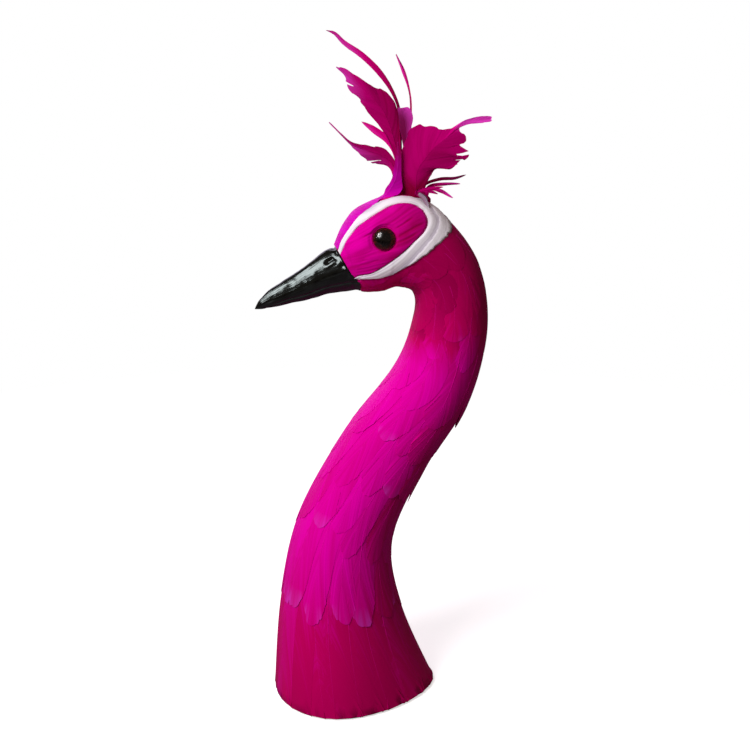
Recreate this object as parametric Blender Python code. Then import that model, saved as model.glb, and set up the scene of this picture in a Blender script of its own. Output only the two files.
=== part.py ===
"""A standing peacock head ornament: a curved neck and head covered in dyed feathers, with a glossy
beak, glass eyes, white face feathers and a crest of loose feathers.

Metres, +Z up. The bird faces -X, its left side faces -Y, and the foot stands on Z = 0.
A place on the neck or head is told by two numbers: how far along the middle line it lies, in
hundredths of the way from the foot to the beak, and how far down it is turned from the back or
crown, in degrees, with the bird's left side positive.
"""

import bisect
import math

import bmesh
import bpy
from mathutils import Matrix, Vector

MM = 0.001

# Fits between the pieces
TOUCH_GAP = 0.3 * MM  # between two pieces that lie against each other
EYE_RIM_GAP = 0.6 * MM  # between the glass eye and the feathers trimmed round it

# Neck and head
BODY_HEIGHT = 300 * MM
FOOT_ROUNDING = 2.5 * MM
# The ribs run from the foot to the beak. Each is the front x and z, the back x and z and the half
# width, in hundredths of BODY_HEIGHT, then how egg-shaped it is, with the broad end to the front.
BODY_RIBS = (
    (-16.5, 0.0, 16.8, 0.0, 15.2, 0.25),
    (-15.0, 19.8, 9.8, 17.5, 11.6, 0.14),
    (-11.1, 37.8, 7.8, 32.9, 9.4, 0.03),
    (-1.7, 55.3, 14.4, 47.9, 8.5, 0.0),
    (8.8, 69.1, 22.9, 61.2, 7.9, 0.0),
    (12.5, 79.3, 26.9, 76.0, 7.1, 0.0),
    (12.2, 84.3, 24.9, 89.7, 6.8, 0.0),
    (8.7, 85.6, 17.5, 99.5, 6.9, 0.0),
    (6.0, 84.8, 9.7, 103.3, 6.7, 0.0),
    (3.5, 84.6, 2.0, 101.2, 5.8, 0.0),
    (2.3, 84.6, -1.3, 98.0, 4.9, 0.0),
    (1.6, 84.8, -3.3, 93.6, 3.8, 0.0),
)
RIB_STEPS = 12  # steps from rib to rib when the middle line is measured

# Feathers glued on in rings, like tiles, each ring over the one below
COLUMNS = 48
FEATHERS_ROUND = 8
FEATHER_STEP = 1.1 * MM  # how far a feather's tip stands over the ring below
VALLEY = 0.45  # share of that step that is lost between two feathers
TIP_SHARE = 0.34  # share of a ring's height that its rounded tips take up
TIP_UNEVEN = 0.07  # share of a ring's height by which single tips differ
RING_STARTS = (0.0, 14.3, 27.2, 38.0, 47.2, 55.2, 62.1, 68.4, 74.1, 79.3)
RINGS_END = 84.0
ROWS_IN_RING = 2
HEAD_ROWS = 10

# Glass eyes
EYE_DIAMETER = 13 * MM
EYE_BULGE = 3.4 * MM  # how far the dome stands out of the head
EYE_SEAT = 3.0 * MM  # how deep the glass sits in its socket
EYE_FROM_BEAK = 23.9 * MM  # from the beak back to the eye's middle, along the middle line
EYE_DOWN = 77.0  # degrees down from the crown
EYE_SIDES = 24
EYE_DOME_ROWS = 4

# Face feathers: the edge of the pink patch round the eye, then the edge of the white band round
# that patch, both from above the beak, over the eye and back below the beak. A point is its share of
# the way from the eye's middle to the beak, less than 0 behind the eye, and its share of the turn
# from the crown down to the eye.
FACE_GAP = 0.5 * MM  # room for the glue under them
FACE_THICKNESS = 0.8 * MM
FACE_FROM_BEAK = 2.5 * MM  # where they begin
PATCH_EDGE = (
    (1.0, 0.67),
    (0.66, 0.66),
    (0.33, 0.63),
    (0.03, 0.56),
    (-0.33, 0.43),
    (-0.56, 0.39),
    (-0.72, 0.44),
    (-0.8, 0.51),
    (-0.87, 0.62),
    (-0.89, 0.78),
    (-0.75, 1.03),
    (-0.48, 1.27),
    (-0.05, 1.44),
    (0.49, 1.52),
    (1.0, 1.4),
)
BAND_EDGE = (
    (1.0, 0.43),
    (0.69, 0.47),
    (0.36, 0.39),
    (0.1, 0.29),
    (-0.26, 0.27),
    (-0.64, 0.25),
    (-0.95, 0.1),
    (-1.28, 0.08),
    (-1.36, 0.29),
    (-1.36, 0.55),
    (-1.23, 0.99),
    (-0.98, 1.38),
    (-0.39, 1.62),
    (0.21, 1.65),
    (0.85, 1.55),
)
FACE_STEPS = 28
FRONT_STEPS = 4  # along the beak
PATCH_ROWS = 2
BAND_ROWS = 2

# Beak
BEAK_LENGTH = 58 * MM
BEAK_ROOT_SHARE = 0.96  # size of the beak's root against the flat front of the head
# The other ribs run on to the tip. Each is the top x and z, the bottom x and z and the half width,
# in hundredths of BEAK_LENGTH, from the middle of the beak's root.
BEAK_RIBS = (
    (-22.8, 18.4, 0.3, -22.9, 16.4),
    (-38.3, 6.9, -18.1, -24.8, 12.9),
    (-53.3, -3.6, -37.1, -30.0, 10.7),
    (-68.4, -12.9, -54.7, -33.4, 8.6),
    (-80.5, -21.2, -69.8, -36.4, 6.6),
    (-87.8, -28.3, -81.9, -38.1, 4.1),
)
BEAK_TIP = (-92.2, -37.4)
BEAK_RIDGE = 0.22  # how much narrower the beak is above its middle than below
BEAK_SIDES = 18
BEAK_STEPS = 2
MOUTH_DOWN = 120.0  # degrees round from the ridge to the mouth line
MOUTH_DEPTH = 0.7 * MM
NOSTRIL_LENGTH = 7.0 * MM
NOSTRIL_WIDTH = 2.2 * MM
NOSTRIL_DEPTH = 1.2 * MM
NOSTRIL_RIB = 1.0
NOSTRIL_DOWN = 50.0

# Crown feather: a strip between the white bands, from the beak over the crown, which then stands up
# in front of the crest
CROWN_CLEARANCE = 0.9 * MM  # between the strip and the white bands
CROWN_FROM_CREST = 6.5 * MM  # where the strip turns up, along the middle line
CROWN_THICKNESS = 1.3 * MM
CROWN_STEPS = 6
CROWN_SEARCH_STEPS = 200  # steps in which the white band's edge is followed
CROWN_FIRST_TWIST = 0.4

# Crest
CREST_HEIGHT = 92 * MM
CREST_FROM_BEAK = 31.6 * MM  # from the beak back to the crest's middle, along the middle line
QUILL_DIAMETER = 1.4 * MM
QUILL_DEPTH = 5.0 * MM
QUILL_SIDES = 8
VANE_THICKNESS = 0.6 * MM
SHAFT_THICKNESS = 1.2 * MM
VANE_CUP = 0.12  # how far a vane's edges bend back from its flat side, as a share of their width
VANE_SWEEP = 0.4  # how far they lean towards the tip, as a share of their width
CREST_STEPS = 2  # rings from point to point
# The rest are hundredths of CREST_HEIGHT from the crest's middle on the crown. A point is the
# shaft's x, y and z, with the width of the vane before and behind the shaft there.
CROWN_STEM = (
    (-7.8, -2.6, 5.0, 4.2, 4.2),
    (-5.0, -4.9, 11.0, 2.6, 2.6),
    (-4.0, -6.0, 18.0, 1.9, 1.9),
    (-3.6, -7.0, 27.0, 1.3, 1.3),
    (-3.9, -7.6, 35.3, 0.4, 0.4),
)
# Each feather: where its quill enters the crown, as a place from the crest's middle, and its points
CREST_FEATHERS = {
    "crest_tall_feather": (
        (0.3, 7.4),
        (
            (-2.6, -2.7, 18.8, 0.8, 0.9),
            (-5.5, -4.3, 34.2, 3.4, 5.9),
            (-12.1, -6.5, 51.4, 8.4, 8.8),
            (-22.3, -8.7, 62.9, 6.0, 5.0),
            (-29.0, -9.6, 68.2, 5.8, 4.0),
            (-32.5, -10.0, 71.2, 2.0, 3.2),
            (-36.4, -10.3, 74.9, 1.1, 2.2),
            (-41.5, -10.9, 78.8, 0.9, 0.8),
        ),
    ),
    "crest_low_feather": (
        (0.8, -1.0),
        (
            (-4.9, -1.1, 16.7, 0.9, 0.9),
            (-11.0, -3.3, 23.9, 6.5, 4.3),
            (-20.8, -6.5, 27.9, 4.9, 3.0),
            (-32.4, -9.8, 32.6, 1.1, 1.1),
            (-39.3, -12.0, 38.8, 0.5, 0.5),
            (-46.7, -13.0, 46.1, 0.4, 0.4),
        ),
    ),
    "crest_fan_feather": (
        (-1.3, 5.6),
        (
            (9.1, -4.3, 14.5, 9.0, 13.0),
            (13.5, -6.6, 22.5, 13.5, 19.0),
            (18.6, -8.8, 29.4, 10.8, 18.5),
            (23.6, -10.0, 33.6, 7.4, 17.5),
            (25.2, -10.4, 35.0, 6.4, 9.5),
            (29.6, -11.1, 39.0, 2.6, 10.2),
            (32.0, -11.6, 41.4, 1.6, 1.6),
            (38.0, -12.4, 45.2, 1.6, 1.6),
            (46.0, -13.4, 46.8, 2.1, 2.1),
            (53.4, -14.1, 47.2, 1.6, 1.6),
        ),
    ),
    "crest_ribbon_feather": (
        (-0.2, -1.4),
        (
            (0.3, 4.3, 27.4, 0.8, 0.8),
            (0.3, 8.7, 48.7, 0.9, 0.9),
            (-3.7, 12.0, 62.1, 1.2, 1.2),
            (-11.4, 15.2, 74.1, 1.8, 1.8),
            (-21.8, 17.4, 84.5, 1.9, 1.8),
            (-32.9, 18.5, 92.3, 1.6, 1.3),
            (-39.1, 18.5, 98.0, 1.0, 1.0),
            (-44.9, 17.4, 100.0, 0.4, 0.4),
        ),
    ),
    "crest_whisker_feather": (
        (-0.6, -9.8),
        (
            (6.0, 7.6, 27.1, 0.6, 0.6),
            (7.9, 13.0, 51.4, 0.6, 0.6),
            (7.2, 16.3, 63.6, 0.6, 0.6),
            (4.2, 18.5, 74.6, 1.1, 1.1),
            (-0.5, 20.7, 85.5, 0.4, 0.4),
        ),
    ),
    "crest_lobe_feather": (
        (-0.9, -2.2),
        (
            (2.7, 2.4, 27.0, 0.8, 0.8),
            (3.2, 3.5, 37.0, 3.2, 3.0),
            (2.5, 4.4, 44.5, 5.0, 6.0),
            (1.0, 5.0, 50.0, 3.4, 5.0),
            (0.0, 5.4, 53.5, 1.2, 2.0),
        ),
    ),
    "crest_lance_feather": (
        (0.4, -7.0),
        (
            (-2.5, 6.5, 21.0, 0.8, 0.8),
            (-6.5, 9.8, 32.0, 1.9, 1.9),
            (-14.2, 13.0, 38.7, 2.1, 2.1),
            (-23.4, 16.3, 44.8, 0.4, 0.4),
        ),
    ),
    "crest_upper_wisp": (
        (-1.6, -8.4),
        (
            (16.1, 5.4, 5.8, 1.0, 1.0),
            (26.3, 8.7, 8.5, 1.1, 1.1),
            (36.5, 10.9, 8.7, 1.0, 1.0),
            (44.1, 13.0, 10.7, 0.4, 0.4),
        ),
    ),
    "crest_middle_wisp": (
        (-2.2, 0.0),
        (
            (18.8, 2.7, 4.8, 1.0, 1.0),
            (28.7, 4.3, 5.8, 1.0, 1.0),
            (38.9, 6.5, 5.7, 0.4, 0.4),
        ),
    ),
    "crest_lower_wisp": (
        (-2.4, 8.6),
        (
            (17.9, -2.2, 3.5, 1.0, 1.0),
            (24.6, -4.3, 2.4, 1.2, 1.2),
            (31.8, -6.5, -1.8, 0.4, 0.4),
        ),
    ),
}

# Colours
MAGENTA = "D8009C"
PINK = "E000A8"
CRIMSON = "A80062"
WHITE = "E6E0E6"
BLACK = "0B0B0D"
EYE_BROWN = "1C0B06"

SIDEWAYS = Vector((0.0, -1.0, 0.0))  # towards the bird's left


def spline(points, t):
    """Point number t, whole or in between, on a smooth curve through the points."""
    last = len(points) - 1
    t = min(max(t, 0.0), float(last))
    i = min(int(t), last - 1)
    f = t - i
    before = points[max(i - 1, 0)]
    after = points[min(i + 2, last)]
    mixed = []
    for a, b, c, d in zip(before, points[i], points[i + 1], after):
        bend = f * f * (a - 2.5 * b + 2.0 * c - 0.5 * d) + f * f * f * (1.5 * (b - c) + 0.5 * (d - a))
        mixed.append(b + 0.5 * f * (c - a) + bend)
    return mixed


def outline_point(points, share):
    """The point at this share, 0 to 1, of the way along an outline."""
    return spline(points, share * (len(points) - 1))


# Neck and head surface


def rib_middle(rib):
    """Middle of a rib, halfway from its front to its back."""
    return Vector((rib[0] + rib[2], 0.0, rib[1] + rib[3])) * (BODY_HEIGHT / 200.0)


def middle_line_lengths():
    """Length of the middle line from the foot up to each of its steps."""
    lengths = [0.0]
    before = rib_middle(BODY_RIBS[0])
    for step in range(1, (len(BODY_RIBS) - 1) * RIB_STEPS + 1):
        here = rib_middle(spline(BODY_RIBS, step / RIB_STEPS))
        lengths.append(lengths[-1] + (here - before).length)
        before = here
    return lengths


MIDDLE_LINE = middle_line_lengths()


def back_from_beak(length):
    """How far along a place lies that is this length back from the beak."""
    return 100.0 * (1.0 - length / MIDDLE_LINE[-1])


EYE_ALONG = back_from_beak(EYE_FROM_BEAK)
CREST_ALONG = back_from_beak(CREST_FROM_BEAK)


def body_rib(along):
    """The rib at this place along the middle line."""
    length = MIDDLE_LINE[-1] * along / 100.0
    i = min(max(bisect.bisect_right(MIDDLE_LINE, length) - 1, 0), len(MIDDLE_LINE) - 2)
    f = (length - MIDDLE_LINE[i]) / (MIDDLE_LINE[i + 1] - MIDDLE_LINE[i])
    return spline(BODY_RIBS, (i + f) / RIB_STEPS)


def bare_point(along, down):
    """Point on the neck or head under its feathers."""
    rib = body_rib(along)
    turn = math.radians(down)
    half = Vector((rib[2] - rib[0], 0.0, rib[3] - rib[1])) * (BODY_HEIGHT / 200.0)
    width = rib[4] * BODY_HEIGHT / 100.0 * (1.0 - rib[5] * math.cos(turn))
    return rib_middle(rib) + half * math.cos(turn) + SIDEWAYS * (width * math.sin(turn))


def body_normal(along, down):
    """Direction straight out of the neck or head."""
    up_line = bare_point(min(along + 0.3, 100.0), down) - bare_point(max(along - 0.3, 0.0), down)
    round_line = bare_point(along, down + 1.0) - bare_point(along, down - 1.0)
    return up_line.cross(round_line).normalized()


def body_point(along, down, lift=0.0):
    """Point at this height over the neck or head."""
    return bare_point(along, down) + body_normal(along, down) * lift


# Mesh helpers


def join_rings(mesh, lower, upper, closed=True):
    """Faces between two rows of as many points."""
    count = len(lower)
    for i in range(count if closed else count - 1):
        j = (i + 1) % count
        mesh.faces.new((lower[i], lower[j], upper[j], upper[i]))


def loft(rings, tip=None):
    """A closed body through the rings, flat at its first ring and flat or pointed at its last."""
    mesh = bmesh.new()
    rows = [[mesh.verts.new(point) for point in ring] for ring in rings]
    for lower, upper in zip(rows, rows[1:]):
        join_rings(mesh, lower, upper)
    mesh.faces.new(list(reversed(rows[0])))
    if tip is None:
        mesh.faces.new(rows[-1])
    else:
        point = mesh.verts.new(tip)
        for a, b in zip(rows[-1], rows[-1][1:] + rows[-1][:1]):
            mesh.faces.new((a, b, point))
    return mesh


def shell(outside, inside, closed):
    """A closed thin body between two grids of as many points. Its rows may close into rings."""
    mesh = bmesh.new()
    outer = [[mesh.verts.new(point) for point in row] for row in outside]
    inner = [[mesh.verts.new(point) for point in row] for row in inside]
    for k in range(len(outer) - 1):
        join_rings(mesh, outer[k], outer[k + 1], closed)
        join_rings(mesh, inner[k + 1], inner[k], closed)
    join_rings(mesh, inner[0], outer[0], closed)
    join_rings(mesh, outer[-1], inner[-1], closed)
    if not closed:
        join_rings(mesh, [row[0] for row in outer], [row[0] for row in inner], False)
        join_rings(mesh, [row[-1] for row in inner], [row[-1] for row in outer], False)
    return mesh


def add_rod(mesh, start, direction, length, radius, sides):
    """Add a closed round rod to a mesh."""
    turn = direction.to_track_quat("Z", "Y").to_matrix().to_4x4()
    place = Matrix.Translation(start + direction * (length / 2)) @ turn
    bmesh.ops.create_cone(
        mesh, cap_ends=True, segments=sides, radius1=radius, radius2=radius, depth=length, matrix=place
    )


def from_hex(value):
    """A screen colour as the linear numbers that a shader takes."""
    parts = [int(value[i : i + 2], 16) / 255.0 for i in (0, 2, 4)]
    linear = [p / 12.92 if p <= 0.04045 else ((p + 0.055) / 1.055) ** 2.4 for p in parts]
    return (*linear, 1.0)


def finish(name, colour, roughness):
    """A plain finish of one colour."""
    material = bpy.data.materials.new(name)
    material.use_nodes = True
    shader = material.node_tree.nodes["Principled BSDF"]
    shader.inputs["Base Color"].default_value = from_hex(colour)
    shader.inputs["Roughness"].default_value = roughness
    shader.inputs["Metallic"].default_value = 0.0
    return material


def add_object(name, mesh, material, sharp_angle=40.0):
    """Put a mesh in the scene as a piece."""
    bmesh.ops.recalc_face_normals(mesh, faces=mesh.faces)
    data = bpy.data.meshes.new(name)
    mesh.to_mesh(data)
    mesh.free()
    data.materials.append(material)
    data.shade_smooth()
    data.set_sharp_from_angle(angle=math.radians(sharp_angle))
    piece = bpy.data.objects.new(name, data)
    bpy.context.scene.collection.objects.link(piece)
    return piece


def cut(piece, name, mesh, material):
    """Cut the bodies of a mesh out of a piece."""
    cutter = add_object(name, mesh, material)
    cutter.hide_render = True
    cutter.display_type = "WIRE"
    boolean = piece.modifiers.new(name, "BOOLEAN")
    boolean.operation = "DIFFERENCE"
    boolean.solver = "EXACT"
    boolean.object = cutter


# Neck and head


def feather_edge(ring, column):
    """Where a ring of feathers ends at this column, and how far from a feather's middle that is."""
    place = column * FEATHERS_ROUND / COLUMNS + 0.5 * (ring % 2)
    across = abs(2.0 * (place % 1.0) - 1.0)
    if ring == 0:
        return 0.0, across
    if ring == len(RING_STARTS):
        return RINGS_END, across
    above = RING_STARTS[ring + 1] if ring + 1 < len(RING_STARTS) else RINGS_END
    height = above - RING_STARTS[ring]
    uneven = TIP_UNEVEN * math.sin(2.4 * int(place) + 1.7 * ring)
    return RING_STARTS[ring] + height * (TIP_SHARE * across**2 + uneven), across


def foot_rings():
    """The rounded edge of the foot, which stands flat."""
    rings = []
    for turn in (0.0, 30.0, 60.0):
        inset = FOOT_ROUNDING * (1.0 - math.sin(math.radians(turn)))
        height = FOOT_ROUNDING * (1.0 - math.cos(math.radians(turn)))
        ring = []
        for column in range(COLUMNS):
            down = 360.0 * column / COLUMNS
            point = body_point(0.0, down, FEATHER_STEP - inset)
            ring.append(Vector((point.x, point.y, height)))
        rings.append(ring)
    return rings


def feather_ring_rows(ring):
    """Rows of points up one ring of feathers, from the step at its tips to the ring above."""
    rows = []
    first = 1 if ring == 0 else 0
    for row in range(first, ROWS_IN_RING + 1):
        points = []
        for column in range(COLUMNS):
            low, across = feather_edge(ring, column)
            high, _ = feather_edge(ring + 1, column)
            share = row / ROWS_IN_RING
            lift = FEATHER_STEP * (1.0 - VALLEY * across**2) * (1.0 - share)
            points.append(body_point(low + (high - low) * share, 360.0 * column / COLUMNS, lift))
        rows.append(points)
    return rows


def make_neck_and_head(material):
    rings = foot_rings()
    for ring in range(len(RING_STARTS)):
        rings += feather_ring_rows(ring)
    for row in range(1, HEAD_ROWS + 1):
        along = RINGS_END + (100.0 - RINGS_END) * row / HEAD_ROWS
        rings.append([bare_point(along, 360.0 * column / COLUMNS) for column in range(COLUMNS)])
    piece = add_object("neck_and_head", loft(rings), material, 30.0)
    holes = bmesh.new()
    for side in (1, -1):
        centre = bare_point(EYE_ALONG, side * EYE_DOWN)
        outward = body_normal(EYE_ALONG, side * EYE_DOWN)
        depth = EYE_SEAT + TOUCH_GAP
        radius = EYE_DIAMETER / 2 + TOUCH_GAP
        add_rod(holes, centre - outward * depth, outward, depth + EYE_BULGE, radius, EYE_SIDES)
    for root, _ in CREST_FEATHERS.values():
        entry, outward = quill_entry(root)
        depth = QUILL_DEPTH + TOUCH_GAP
        radius = QUILL_DIAMETER / 2 + TOUCH_GAP
        start = entry - outward * depth
        add_rod(holes, start, outward, depth + QUILL_DEPTH, radius, QUILL_SIDES)
    cut(piece, "eye_and_quill_holes", holes, material)
    return piece


# Eyes


def make_eye(name, side, material):
    """A glass eye: a short stub in its socket under a low dome."""
    centre = bare_point(EYE_ALONG, side * EYE_DOWN)
    outward = body_normal(EYE_ALONG, side * EYE_DOWN)
    first = outward.orthogonal().normalized()
    second = outward.cross(first)
    radius = EYE_DIAMETER / 2
    profile = [(radius, -EYE_SEAT)]
    for row in range(EYE_DOME_ROWS):
        turn = math.radians(90.0 * row / EYE_DOME_ROWS)
        profile.append((radius * math.cos(turn), EYE_BULGE * math.sin(turn)))
    rings = []
    for wide, high in profile:
        ring = []
        for step in range(EYE_SIDES):
            turn = 2.0 * math.pi * step / EYE_SIDES
            spread = first * (wide * math.cos(turn)) + second * (wide * math.sin(turn))
            ring.append(centre + outward * high + spread)
        rings.append(ring)
    return add_object(name, loft(rings, centre + outward * EYE_BULGE), material)


# Face feathers


def face_edge(points, share):
    """The place at this share of the way along an edge of the face feathers."""
    forward, turn = outline_point(points, share)
    front = back_from_beak(FACE_FROM_BEAK)
    return EYE_ALONG + (front - EYE_ALONG) * forward, EYE_DOWN * turn


def at_rim(edge):
    """Where the line from the eye's middle to a point of the patch's edge leaves the eye's rim."""
    centre = bare_point(EYE_ALONG, EYE_DOWN)
    outward = body_normal(EYE_ALONG, EYE_DOWN)
    near, far = 0.0, 1.0
    for _ in range(20):
        share = (near + far) / 2
        away = bare_point(*mix((EYE_ALONG, EYE_DOWN), edge, share)) - centre
        away -= outward * away.dot(outward)
        if away.length < EYE_DIAMETER / 2 + EYE_RIM_GAP:
            near = share
        else:
            far = share
    return mix((EYE_ALONG, EYE_DOWN), edge, far)


def mix(a, b, share):
    """The place a share of the way from a to b."""
    return tuple(p + (q - p) * share for p, q in zip(a, b))


def face_shell(rows, side, closed):
    """A thin body over the head through rows of places."""
    low = FACE_GAP
    high = FACE_GAP + FACE_THICKNESS
    inside = [[body_point(along, side * down, low) for along, down in row] for row in rows]
    outside = [[body_point(along, side * down, high) for along, down in row] for row in rows]
    return shell(outside, inside, closed)


def make_eye_patch(name, side, material):
    """The pink feathers round one eye."""
    edge = [face_edge(PATCH_EDGE, step / FACE_STEPS) for step in range(FACE_STEPS + 1)]
    # The edge closes in a straight line along the beak.
    for step in range(1, FRONT_STEPS):
        edge.append(mix(edge[FACE_STEPS], edge[0], step / FRONT_STEPS))
    rim = [at_rim(point) for point in edge]
    rows = []
    for row in range(PATCH_ROWS + 1):
        rows.append([mix(a, b, row / PATCH_ROWS) for a, b in zip(rim, edge)])
    return add_object(name, face_shell(rows, side, True), material)


def make_white_band(name, side, material):
    """The white feathers round the pink patch, open at the beak."""
    rows = [[] for _ in range(BAND_ROWS + 1)]
    for step in range(FACE_STEPS + 1):
        inner = face_edge(PATCH_EDGE, step / FACE_STEPS)
        outer = face_edge(BAND_EDGE, step / FACE_STEPS)
        span = (bare_point(*outer) - bare_point(*inner)).length
        for row in range(BAND_ROWS + 1):
            share = 2 * TOUCH_GAP / span
            rows[row].append(mix(inner, outer, share + (1.0 - share) * row / BAND_ROWS))
    return add_object(name, face_shell(rows, side, False), material)


# Beak


def beak_root():
    """Middle of the beak's root, which stands just off the flat front of the head."""
    rib = BODY_RIBS[-1]
    across = Vector((rib[2] - rib[0], 0.0, rib[3] - rib[1]))
    forward = SIDEWAYS.cross(across).normalized()
    return rib_middle(rib) + forward * TOUCH_GAP


def beak_ribs():
    """The beak's ribs in metres from its root. The first follows the flat front of the head."""
    face = BODY_RIBS[-1]
    share = BEAK_ROOT_SHARE * BODY_HEIGHT / 100.0
    half_x = (face[2] - face[0]) / 2 * share
    half_z = (face[3] - face[1]) / 2 * share
    ribs = [(half_x, half_z, -half_x, -half_z, face[4] * share)]
    for rib in BEAK_RIBS:
        ribs.append(tuple(value * BEAK_LENGTH / 100.0 for value in rib))
    return ribs


def beak_section(rib_number):
    """Middle, half height as a vector towards the ridge, and half width of the beak at a rib."""
    top_x, top_z, low_x, low_z, width = spline(beak_ribs(), rib_number)
    middle = Vector((top_x + low_x, 0.0, top_z + low_z)) / 2
    half = Vector((top_x - low_x, 0.0, top_z - low_z)) / 2
    return beak_root() + middle, half, width


def beak_point(rib_number, down):
    """Point on the beak's side, turned down from its ridge."""
    middle, half, width = beak_section(rib_number)
    turn = math.radians(down)
    spread = width * math.sin(turn) * (1.0 - BEAK_RIDGE * math.cos(turn))
    return middle + half * math.cos(turn) + SIDEWAYS * spread


def make_beak(material):
    mouth = round(MOUTH_DOWN / 360.0 * BEAK_SIDES)
    rings = []
    for step in range(len(BEAK_RIBS) * BEAK_STEPS + 1):
        middle, _, _ = beak_section(step / BEAK_STEPS)
        ring = []
        for side in range(BEAK_SIDES):
            point = beak_point(step / BEAK_STEPS, 360.0 * side / BEAK_SIDES)
            if side in (mouth, BEAK_SIDES - mouth):
                point += (middle - point).normalized() * MOUTH_DEPTH
            ring.append(point)
        rings.append(ring)
    tip = beak_root() + Vector((BEAK_TIP[0], 0.0, BEAK_TIP[1])) * (BEAK_LENGTH / 100.0)
    beak = add_object("beak", loft(rings, tip), material)
    slots = bmesh.new()
    for side in (1, -1):
        centre = beak_point(NOSTRIL_RIB, side * NOSTRIL_DOWN)
        forward = beak_point(NOSTRIL_RIB + 0.5, side * NOSTRIL_DOWN) - centre
        turn = forward.to_track_quat("X", "Z").to_matrix().to_4x4()
        size = Matrix.Diagonal((NOSTRIL_LENGTH / 2, NOSTRIL_DEPTH, NOSTRIL_WIDTH / 2, 1.0))
        place = Matrix.Translation(centre) @ turn @ size
        bmesh.ops.create_icosphere(slots, subdivisions=2, radius=1.0, matrix=place)
    cut(beak, "nostril_slots", slots, material)
    return beak


# Crest


def crest_place(x, y, z):
    """A place of the crest, from hundredths of its height."""
    return bare_point(CREST_ALONG, 0.0) + Vector((x, y, z)) * (CREST_HEIGHT / 100.0)


def feather_ring(middle, shaft_line, across, before, behind, shaft, vane):
    """Eight points round a feather: its two edges, and its upper and lower face between them."""
    facing = across.cross(shaft_line)
    outline = (
        (-before, 0.0),
        (-before / 2, vane / 2),
        (0.0, shaft / 2),
        (behind / 2, vane / 2),
        (behind, 0.0),
        (behind / 2, -vane / 2),
        (0.0, -shaft / 2),
        (-before / 2, -vane / 2),
    )
    ring = []
    for wide, high in outline:
        bend = shaft_line * (VANE_SWEEP * abs(wide)) - facing * (VANE_CUP * abs(wide))
        ring.append(middle + across * wide + facing * high + bend)
    return ring


def vane_rings(points):
    """Rings round a feather through its points, each with its place, its two widths and its twist.

    A vane with no twist lies flat across the bird, and at a twist of 1 it faces the bird's left.
    """
    rings = []
    count = (len(points) - 1) * CREST_STEPS
    for step in range(count + 1):
        t = step / CREST_STEPS
        x, y, z, before, behind, twist = spline(points, t)
        shaft_line = Vector(spline(points, t + 0.1)[:3]) - Vector(spline(points, t - 0.1)[:3])
        shaft_line.normalize()
        level = (SIDEWAYS - shaft_line * shaft_line.dot(SIDEWAYS)).normalized()
        across = level.lerp(shaft_line.cross(SIDEWAYS), twist).normalized()
        before = max(before, QUILL_DIAMETER / 4)
        behind = max(behind, QUILL_DIAMETER / 4)
        slim = min(1.0, (before + behind) / QUILL_DIAMETER)
        shaft = SHAFT_THICKNESS * slim
        vane = min(VANE_THICKNESS * slim, shaft)
        place = Vector((x, y, z))
        rings.append(feather_ring(place, shaft_line, across, before, behind, shaft, vane))
    return rings


def in_metres(points, first_twist=1.0):
    """Points of a crest feather in metres, each with its twist."""
    scale = CREST_HEIGHT / 100.0
    rows = []
    for number, (x, y, z, before, behind) in enumerate(points):
        twist = first_twist + (1.0 - first_twist) * number / (len(points) - 1)
        rows.append((*crest_place(x, y, z), before * scale, behind * scale, twist))
    return rows


def quill_entry(root):
    """Where a quill enters the crown, and the direction out of it."""
    place = (CREST_ALONG + root[0], root[1])
    return bare_point(*place), body_normal(*place)


def make_crest_feather(name, root, points, material):
    """A loose feather: a round quill in its hole, then the shaft with its vane."""
    entry, outward = quill_entry(root)
    radius = QUILL_DIAMETER / 2
    quill = []
    for height in (-QUILL_DEPTH, 0.0, QUILL_DEPTH / 2):
        quill.append((*(entry + outward * height), radius, radius, 1.0))
    return add_object(name, loft(vane_rings(quill + in_metres(points))), material)


def crown_edge(along):
    """How far down the strip reaches at this place, which is just short of the white band."""
    step = 0
    while step < CROWN_SEARCH_STEPS and face_edge(BAND_EDGE, step / CROWN_SEARCH_STEPS)[0] > along:
        step += 1
    down = face_edge(BAND_EDGE, step / CROWN_SEARCH_STEPS)[1]
    span = (bare_point(along, down) - bare_point(along, 0.0)).length
    return down * (1.0 - CROWN_CLEARANCE / span)


def crown_ring(along):
    """Eight points round the crown's strip, in the order of a feather's ring."""
    edge = crown_edge(along)
    top = FACE_GAP + CROWN_THICKNESS
    middle = (FACE_GAP + top) / 2
    ring = []
    for share, lift in ((-1, middle), (-0.5, top), (0, top), (0.5, top), (1, middle)):
        ring.append(body_point(along, edge * share, lift))
    for share in (0.5, 0, -0.5):
        ring.append(body_point(along, edge * share, FACE_GAP))
    return ring


def make_crown_feather(material):
    """The strip over the crown, which turns up into a stem."""
    rings = []
    front = back_from_beak(FACE_FROM_BEAK)
    back = back_from_beak(CREST_FROM_BEAK - CROWN_FROM_CREST)
    for step in range(CROWN_STEPS + 1):
        rings.append(crown_ring(front + (back - front) * step / CROWN_STEPS))
    rings += vane_rings(in_metres(CROWN_STEM, first_twist=CROWN_FIRST_TWIST))
    return add_object("crown_feather", loft(rings), material)


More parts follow.
